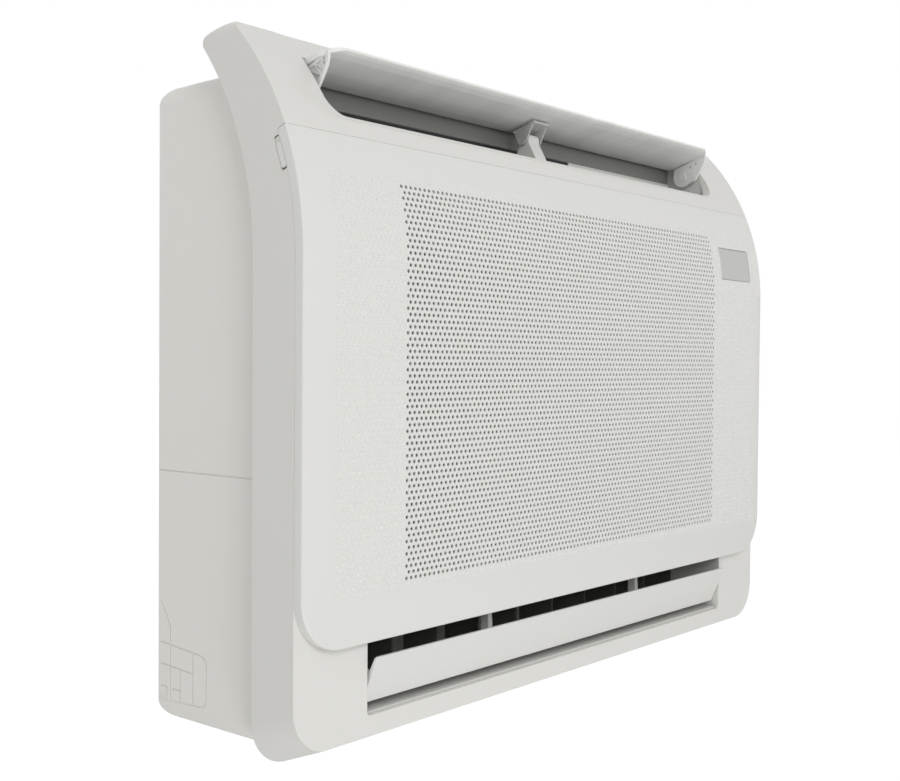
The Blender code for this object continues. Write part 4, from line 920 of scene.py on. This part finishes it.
casing = {
    "half": 0.382, "low": 0.011, "high": 0.587, "front": 0.030, "shoulder": 0.110,
    "wall": 0.003, "back": 0.004, "corner": 0.026, "lowRound": 0.018, "highRound": 0.016,
    "sideRound": 0.003, "fall": 0.005, "seam": 0.0006, "groove": 0.0010, "grooveWidth": 0.0013,
    "hookX": 0.1625, "bossX": 0.369, "bossHeights": (0.150, 0.400),
}
# Parting lines and knock-out outlines moulded into both sides, each a chain of (y, z).
sideLines = [
    [(0.0765, 0.2395), (0.2040, 0.2395)],
    [(0.1870, 0.0990), (0.1870, 0.0285), (0.1770, 0.0140)],
    [(0.1870, 0.0990), (0.1920, 0.1090), (0.2010, 0.1220)],
    [(0.1475, 0.0803), (0.2010, 0.0845)],
    [
        (0.1475, 0.0803), (0.1420, 0.0794), (0.1380, 0.0770), (0.1366, 0.0735),
        (0.1366, 0.0420), (0.1378, 0.0375), (0.1410, 0.0350), (0.2010, 0.0317),
    ],
    [(0.1536, 0.0621), (0.2010, 0.0648)],
    [(0.1730, 0.0620), (0.1730, 0.0330)],
    [(0.1550, 0.0800), (0.1550, 0.0340)],
    [(0.1730, 0.0440), (0.1837, 0.0440)],
    [(0.1920, 0.0447), (0.2010, 0.0447)],
    [(0.1920, 0.0447), (0.1920, 0.0327)],
]


def casingSide(wall=0.0, behind=0.0):
    low, high, back = casing["low"] + wall, casing["high"] - wall, unit["depth"] - behind
    lowRound, highRound = casing["lowRound"] - wall, casing["highRound"] - wall
    outline = [(casing["front"], low)] + arc((back - lowRound, low + lowRound), lowRound, -90, 0, 12)
    outline += arc((back - highRound, high - casing["fall"] - highRound), highRound, 0, 90, 12)
    return outline + [(casing["shoulder"], high), (casing["front"], high)]


def casingBody(name, wall=0.0, behind=0.0):
    half, corner = casing["half"] - wall, casing["corner"] - wall
    body = slab(name, casingSide(wall, behind), -half, half)
    if not wall:
        rim = lambda p: near(abs(p.x), half) and p.y > casing["shoulder"] + 0.0001
        bevelWhere(body, lambda a, b: rim(a) and rim(b) and near(a.x, b.x), casing["sideRound"], 4)
    view = rounded(half, casing["low"] + wall, casing["high"] - wall, corner, corner, 12)
    return combine(body, [slab("casing_view", view, 0.010, 0.230, "Y")], "INTERSECT")


def casingBosses(body, side):
    # A screw boss on a rib at two heights, and the slot for the bracket's hook.
    x = side * casing["bossX"]
    hookX = side * casing["hookX"]
    combine(body, [block("hook_slot", (hookX - 0.0135, 0.195, 0.5305), (hookX + 0.0135, 0.2055, 0.5483))])
    for height in casing["bossHeights"]:
        left, right = pair(side, 0.3705, 0.381)
        boss = bar("boss", (x, 0.0603, height), (x, 0.085, height), 0.0055, 20)
        rib = block("boss_rib", (left, 0.0608, height - 0.002), (right, 0.0845, height + 0.002))
        combine(body, [boss, rib], "UNION")
        combine(body, [bar("boss_hole", (x, 0.058, height), (x, 0.078, height), 0.0022, 16)])


def groove(start, end, side):
    a, b = Vector(start), Vector(end)
    along = (b - a).normalized()
    across = Vector((-along.y, along.x)) * casing["grooveWidth"] / 2
    corners = [a - across, b - across, b + across, a + across]
    return slab("groove", [tuple(p) for p in corners], *pair(side, casing["half"] - casing["groove"], 0.390))


def rearCasing():
    body = casingBody("rear_casing_shell")
    front = climb(bow["band"] + casing["seam"], bow["rear"], -0.020, 0.611)
    front += [(-0.02, 0.631), (-0.02, -0.020)]
    combine(body, [casingBody("casing_hollow", casing["wall"], casing["back"])])
    combine(body, [slab("casing_front", front, -past, past)])
    combine(body, [block("bracket_pocket", (-0.2206, 0.2039, 0.4794), (0.2206, 0.216, 0.5606))])
    for side in (-1, 1):
        casingBosses(body, side)
    for side in (-1, 1):
        for chain in sideLines:
            combine(body, [groove(start, end, side) for start, end in zip(chain, chain[1:])])
    tidyMesh(body, 2e-6)
    smoothOver(body, 30)
    settle(body, "housing", "casing", ["rear_casing"])
    print("casing ready:", len(body.data.polygons), "faces")


rearCasing()


# Top louver, drawn closed on the bow and turned open about its pivot

louver = {
    "pivot": (0.075, 0.5745), "turn": radians(71.8), "half": 0.3315, "thick": 0.005, "recess": 0.0015,
    "outer": 0.2685, "low": 0.5475, "corner": 0.022, "endCorner": 0.0008, "edge": 0.0005, "slice": 0.0035,
    "plateInner": 0.3262, "plateOuter": 0.3292, "pocket": 0.0020, "pocketShare": 0.82,
}
armEdge = [(0.0440, 0.6022), (0.0428, 0.5965), (0.0452, 0.5885), (0.0500, 0.5800), (0.0570, 0.5690)]
# Nodes of the left plate's truss as (y, z), and the triangles between them.
trussNodes = [
    (0.0462, 0.5985), (0.0462, 0.5915), (0.0478, 0.5868), (0.0512, 0.5818), (0.0578, 0.5722),
    (0.0700, 0.5890), (0.0600, 0.5922), (0.0520, 0.5958),
]
trussTriangles = [(0, 1, 7), (1, 2, 7), (2, 6, 7), (2, 3, 6), (3, 5, 6), (3, 4, 5)]


def louverBlade():
    radius = bow["radius"]
    low = bow["start"] + radius * asin((louver["low"] - bow["start"]) / louver["outer"])
    high = bow["start"] + radius * (asin(mouth["end"] / radius) - 0.0006 / louver["outer"])
    front, thick = louver["recess"], louver["thick"]
    deep, thin = front + thick, front + 0.45 * thick
    between = deep * 0.55 + thin * 0.45
    section = [
        (front, low), (thin, low), (between, low + 0.004), (deep, low + 0.012),
        (deep, high - 0.012), (between, high - 0.004), (thin, high), (front, high),
    ]
    blade = slab("louver_blade", section, -louver["half"], louver["half"])
    view = rounded(louver["half"], low, high, louver["corner"], louver["endCorner"], 12)
    combine(blade, [slab("louver_view", view, -0.01, 0.02, "Y")], "INTERSECT")
    tidyMesh(blade, 2e-6)
    roundEdges(blade, louver["edge"], 2, 50)
    wrap(sliced(blade, low + 0.002, high, louver["slice"]))
    y, z = louver["pivot"]
    turn = -louver["turn"]
    for vert in blade.data.vertices:
        dy, dz = vert.co.y - y, vert.co.z - z
        vert.co.y, vert.co.z = y + dy * cos(turn) - dz * sin(turn), z + dy * sin(turn) + dz * cos(turn)
    blade.data.update()
    return blade


def trussPockets(side):
    made = []
    for triangle in trussTriangles:
        corners = [Vector(trussNodes[i]) for i in triangle]
        middle = sum(corners, Vector((0, 0))) / 3
        shrunk = [tuple(middle + (c - middle) * louver["pocketShare"]) for c in corners]
        reach = pair(side, louver["plateOuter"] - louver["pocket"], louver["plateOuter"] + 0.001)
        made.append(slab("truss_pocket", shrunk, *reach))
    return made


def endPlate(side):
    # The left plate is a truss; the right one has two dots and a round boss.
    y, z = louver["pivot"]
    arm = armEdge + arc(louver["pivot"], 0.0125, 225, 372, 16) + [(0.0870, 0.5850), (0.0600, 0.5945)]
    low, high = pair(side, louver["plateInner"], louver["plateOuter"])
    plate = slab("end_plate", arm, low, high)
    roundEdges(plate, louver["edge"], 2, 50)
    if side < 0:
        combine(plate, trussPockets(side))
    else:
        for spot in ((0.0558, 0.5900), (0.0638, 0.5858)):
            combine(plate, [bar("plate_dot", (low - 0.001, *spot), (low + 0.0024, *spot), 0.0016, 16)])
        combine(plate, [bar("plate_boss", (low - 0.0012, y, z), (low + 0.001, y, z), 0.0052, 28)], "UNION")
    stub = bar("stub", (side * 0.3272, y, z), (side * 0.3373, y, z), 0.003, 20)
    return combine(plate, [stub], "UNION")


def topLouver():
    blade = louverBlade()
    for side in (-1, 1):
        combine(blade, [endPlate(side)], "UNION")
    tidyMesh(blade, 2e-6)
    smoothOver(blade, 30)
    settle(blade, "louver", "louver", ["top_louver"])
    print("louver ready:", len(blade.data.polygons), "faces")


def louverBracket():
    y, z = louver["pivot"]
    outline = [(0.0385, 0.5441), (0.0434, 0.5372), (0.0870, 0.5400), (0.0860, 0.5560)]
    outline += arc(louver["pivot"], 0.0065, -20, 200, 18)
    outline += [(0.0600, 0.5560), (0.0560, 0.5480), (0.0405, 0.5450)]
    bracket = slab("louver_bracket", outline, -0.0095, 0.0095)
    roundEdges(bracket, 0.0011, 3, 40)
    combine(bracket, [bar("bracket_hole", (-0.02, y, z), (0.02, y, z), 0.0029, 20)])
    smoothOver(bracket, 35)
    settle(bracket, "housing", "white", ["louver_mid_support"])


def louverClip():
    y, z = louver["pivot"]
    ear = [(0.0600, 0.5925)] + arc(louver["pivot"], 0.0060, 200, 340, 14) + [(0.0850, 0.5832)]
    top = [(0.0590, 0.5925), (0.0592, 0.5900), (0.0848, 0.5815), (0.0850, 0.5838)]
    clip = slab("louver_clip", top, -0.014, 0.014)
    for side in (-1, 1):
        combine(clip, [slab("clip_ear", ear, *pair(side, 0.0110, 0.0136))], "UNION")
    combine(clip, [bar("clip_pin", (-0.012, y, z), (0.012, y, z), 0.0025, 16)], "UNION")
    roundEdges(clip, 0.0004, 2, 50)
    smoothOver(clip, 35)
    settle(clip, "louver", "clear", ["louver_saddle"])


topLouver()
louverBracket()
louverClip()


# Trim inside the top mouth and the lower outlet

mouthBack = {"half": 0.333, "front": 0.1002, "sillFront": 0.0990, "back": 0.1010, "split": 0.1080}
mouthLevels = {"low": 0.5480, "slotTop": 0.5676, "backLow": 0.5680, "high": 0.5862}
sillSide = [(0.0135, 0.0380), (0.0450, 0.0380), (0.0450, 0.0390), (0.0150, 0.0394), (0.0135, 0.0388)]


def trim(piece, edge, finish):
    roundEdges(piece, edge, 2, 50)
    smoothOver(piece, 35)
    settle(piece, "housing", finish)


def mouthStrip(name, left, right, front, low, high):
    return block(name, (left, front, low), (right, mouthBack["back"], high))


def mouthTrim():
    half, split, front = mouthBack["half"], mouthBack["split"], mouthBack["front"]
    low, slotTop = mouthLevels["low"], mouthLevels["slotTop"]
    # The back plate's dark grey is painted shade under the open louver.
    back = mouthStrip("mouth_back", -half, half, front, mouthLevels["backLow"], mouthLevels["high"])
    trim(back, 0.0002, "back")
    # The slot strip's near black is painted shade of the gap into the unit.
    trim(mouthStrip("mouth_slot", -half, split, front, low, slotTop), 0.0002, "dark")
    sill = mouthStrip("mouth_sill", split + 0.0003, half, mouthBack["sillFront"], low, slotTop)
    trim(sill, 0.0002, "white")


mouthTrim()
trim(slab("outlet_sill", sillSide, -0.3112, 0.3112), 0.0003, "band")
print("housing ready")


# Vane across the lower outlet

vane = {
    "half": 0.3098, "pivot": (0.022, 0.074), "support": 0.133, "armShift": 0.005, "armHalf": 0.0012,
    "corner": 0.0022, "edge": 0.0005, "stub": 0.0025, "pin": 0.0020,
    "front": [(0.0178, 0.0462), (0.0138, 0.0560), (0.0090, 0.0675), (0.0046, 0.0785), (0.0005, 0.0885)],
    "back": [
        (0.0028, 0.0889), (0.0065, 0.0815), (0.0100, 0.0750),
        (0.0135, 0.0672), (0.0160, 0.0600), (0.0202, 0.0468),
    ],
}


def isVaneTip(a, b):
    # The short edges at the ends of the vane's upper and lower rim.
    atEnd = near(abs(a.x), vane["half"]) and near(a.x, b.x) and (a - b).length < 0.0035
    return atEnd and (min(a.z, b.z) > 0.088 or max(a.z, b.z) < 0.047)


def vaneArms(side):
    y, z = vane["pivot"]
    arm = [(0.0085, 0.0740), (0.0125, 0.0625)] + arc(vane["pivot"], 0.0050, -75, 110, 14)
    middle = side * vane["support"]
    parts = [
        slab("vane_arm", arm, *pair(side, 0.3062, 0.3088)),
        bar("vane_stub", (side * 0.3070, y, z), (side * 0.3143, y, z), vane["stub"], 16),
    ]
    for shift in (-vane["armShift"], vane["armShift"]):
        spot = middle + shift
        parts.append(slab("vane_mid_arm", arm, spot - vane["armHalf"], spot + vane["armHalf"]))
    parts.append(bar("vane_mid_pin", (middle - 0.0055, y, z), (middle + 0.0055, y, z), vane["pin"], 12))
    return parts


def bottomVane():
    blade = slab("vane_blade", vane["front"] + vane["back"], -vane["half"], vane["half"])
    bevelWhere(blade, isVaneTip, vane["corner"], 4)
    tidyMesh(blade, 1e-6)
    roundEdges(blade, vane["edge"], 2, 40)
    combine(blade, vaneArms(-1) + vaneArms(1), "UNION")
    tidyMesh(blade, 2e-6)
    smoothOver(blade, 30)
    settle(blade, "vane", "white", ["bottom_vane"])
    print("vane ready:", len(blade.data.polygons), "faces")


bottomVane()


# Camera, light and floor

camera = {
    "spot": (-1.0662, -0.9194, -0.1808), "turns": ((-49.9578, "Z"), (88.6486, "X"), (0.4391, "Z")),
    "sensor": 36.0, "lens": 49.46, "reach": 60.0,
}
# Each lamp: where it is, what it points at, its size and its power.
lamps = {
    "key": ((-1.5, -3.0, 1.3), (0, -0.1, -0.2), 1.5, 33.0),
    "low": ((-0.7, -1.60, -1.60), (0.15, -0.1, 0.05), 0.6, 6.5),
    "side": ((-2.8, -0.7, 0.5), (0, -0.1, -0.2), 1.4, 2.6),
    "right": ((2.2, -1.8, 0.5), (0, -0.1, -0.2), 1.4, 2.0),
}
sky = {"tone": (1.0, 0.995, 0.98, 1), "strength": 0.58}
ground = {"size": 40, "height": -1.75, "glow": 1.05, "share": 0.97}
plainWhite = (1, 1, 1, 1)


def addCamera():
    eye = bpy.data.objects.new("camera", bpy.data.cameras.new("camera"))
    scene.collection.objects.link(eye)
    place = Matrix.Translation(camera["spot"])
    for angle, axis in camera["turns"]:
        place = place @ Matrix.Rotation(radians(angle), 4, axis)
    eye.matrix_world = place
    eye.data.sensor_width, eye.data.lens = camera["sensor"], camera["lens"]
    eye.data.clip_end = camera["reach"]
    scene.camera = eye


def addLamps():
    for name, (spot, aim, size, power) in lamps.items():
        lamp = bpy.data.lights.new(name, "AREA")
        lamp.shape, lamp.size, lamp.energy = "DISK", size, power
        holder = bpy.data.objects.new(name, lamp)
        scene.collection.objects.link(holder)
        holder.location = spot
        holder.rotation_euler = (Vector(aim) - Vector(spot)).to_track_quat("-Z", "Y").to_euler()


def addSky():
    # Soft light on the object; plain white for the camera, for reflections and through clear parts.
    world = bpy.data.worlds.new("studio")
    scene.world = world
    world.use_nodes = True
    tree = world.node_tree
    tree.nodes.clear()
    add = lambda kind: tree.nodes.new("ShaderNode" + kind)
    rays, soft, white = add("LightPath"), add("Background"), add("Background")
    soft.inputs["Color"].default_value = sky["tone"]
    soft.inputs["Strength"].default_value = sky["strength"]
    white.inputs["Color"].default_value = plainWhite
    seen = rays.outputs["Is Camera Ray"]
    for kind in ("Is Glossy Ray", "Is Transmission Ray"):
        either = add("Math")
        either.operation = "MAXIMUM"
        tree.links.new(seen, either.inputs[0])
        tree.links.new(rays.outputs[kind], either.inputs[1])
        seen = either.outputs[0]
    mix, out = add("MixShader"), add("OutputWorld")
    for number, socket in enumerate((seen, soft.outputs[0], white.outputs[0])):
        tree.links.new(socket, mix.inputs[number])
    tree.links.new(mix.outputs[0], out.inputs[0])


def addFloor():
    # The camera sees the floor as white; the object is lit by its diffuse white.
    free()
    bpy.ops.mesh.primitive_plane_add(size=ground["size"], location=(0, 0, ground["height"]))
    floor = bpy.context.object
    floor.name = "floor"
    paint = Finish("floor white", {"Base Color": (0.88, 0.88, 0.88, 1), "Roughness": 0.7})
    seen = paint.add("ShaderNodeLightPath", output="Is Camera Ray")
    sockets = {"Color": plainWhite, "Strength": ground["glow"]}
    glow = paint.add("ShaderNodeEmission", {}, sockets, "Emission")
    both = paint.add("ShaderNodeMixShader", {}, {0: seen * ground["share"], 2: glow})
    paint.tree.links.new(paint.shader.outputs[0], both.socket.node.inputs[1])
    paint.tree.links.new(both.socket, paint.tree.nodes["Material Output"].inputs["Surface"])
    floor.data.materials.append(paint.material)


def paintKept():
    slots = {piece["node"]: piece["material_slot"] for piece in frame["record"]["subparts"]}
    for name, node in frame["nodes"].items():
        finish = finishes[slotFinish[slots.get(name, "white_plastic")]]
        if not node.material_slots:
            node.data.materials.append(finish)
        for place in node.material_slots:
            place.material = finish


paintKept()
addCamera()
addLamps()
addSky()
addFloor()
print("scene ready")
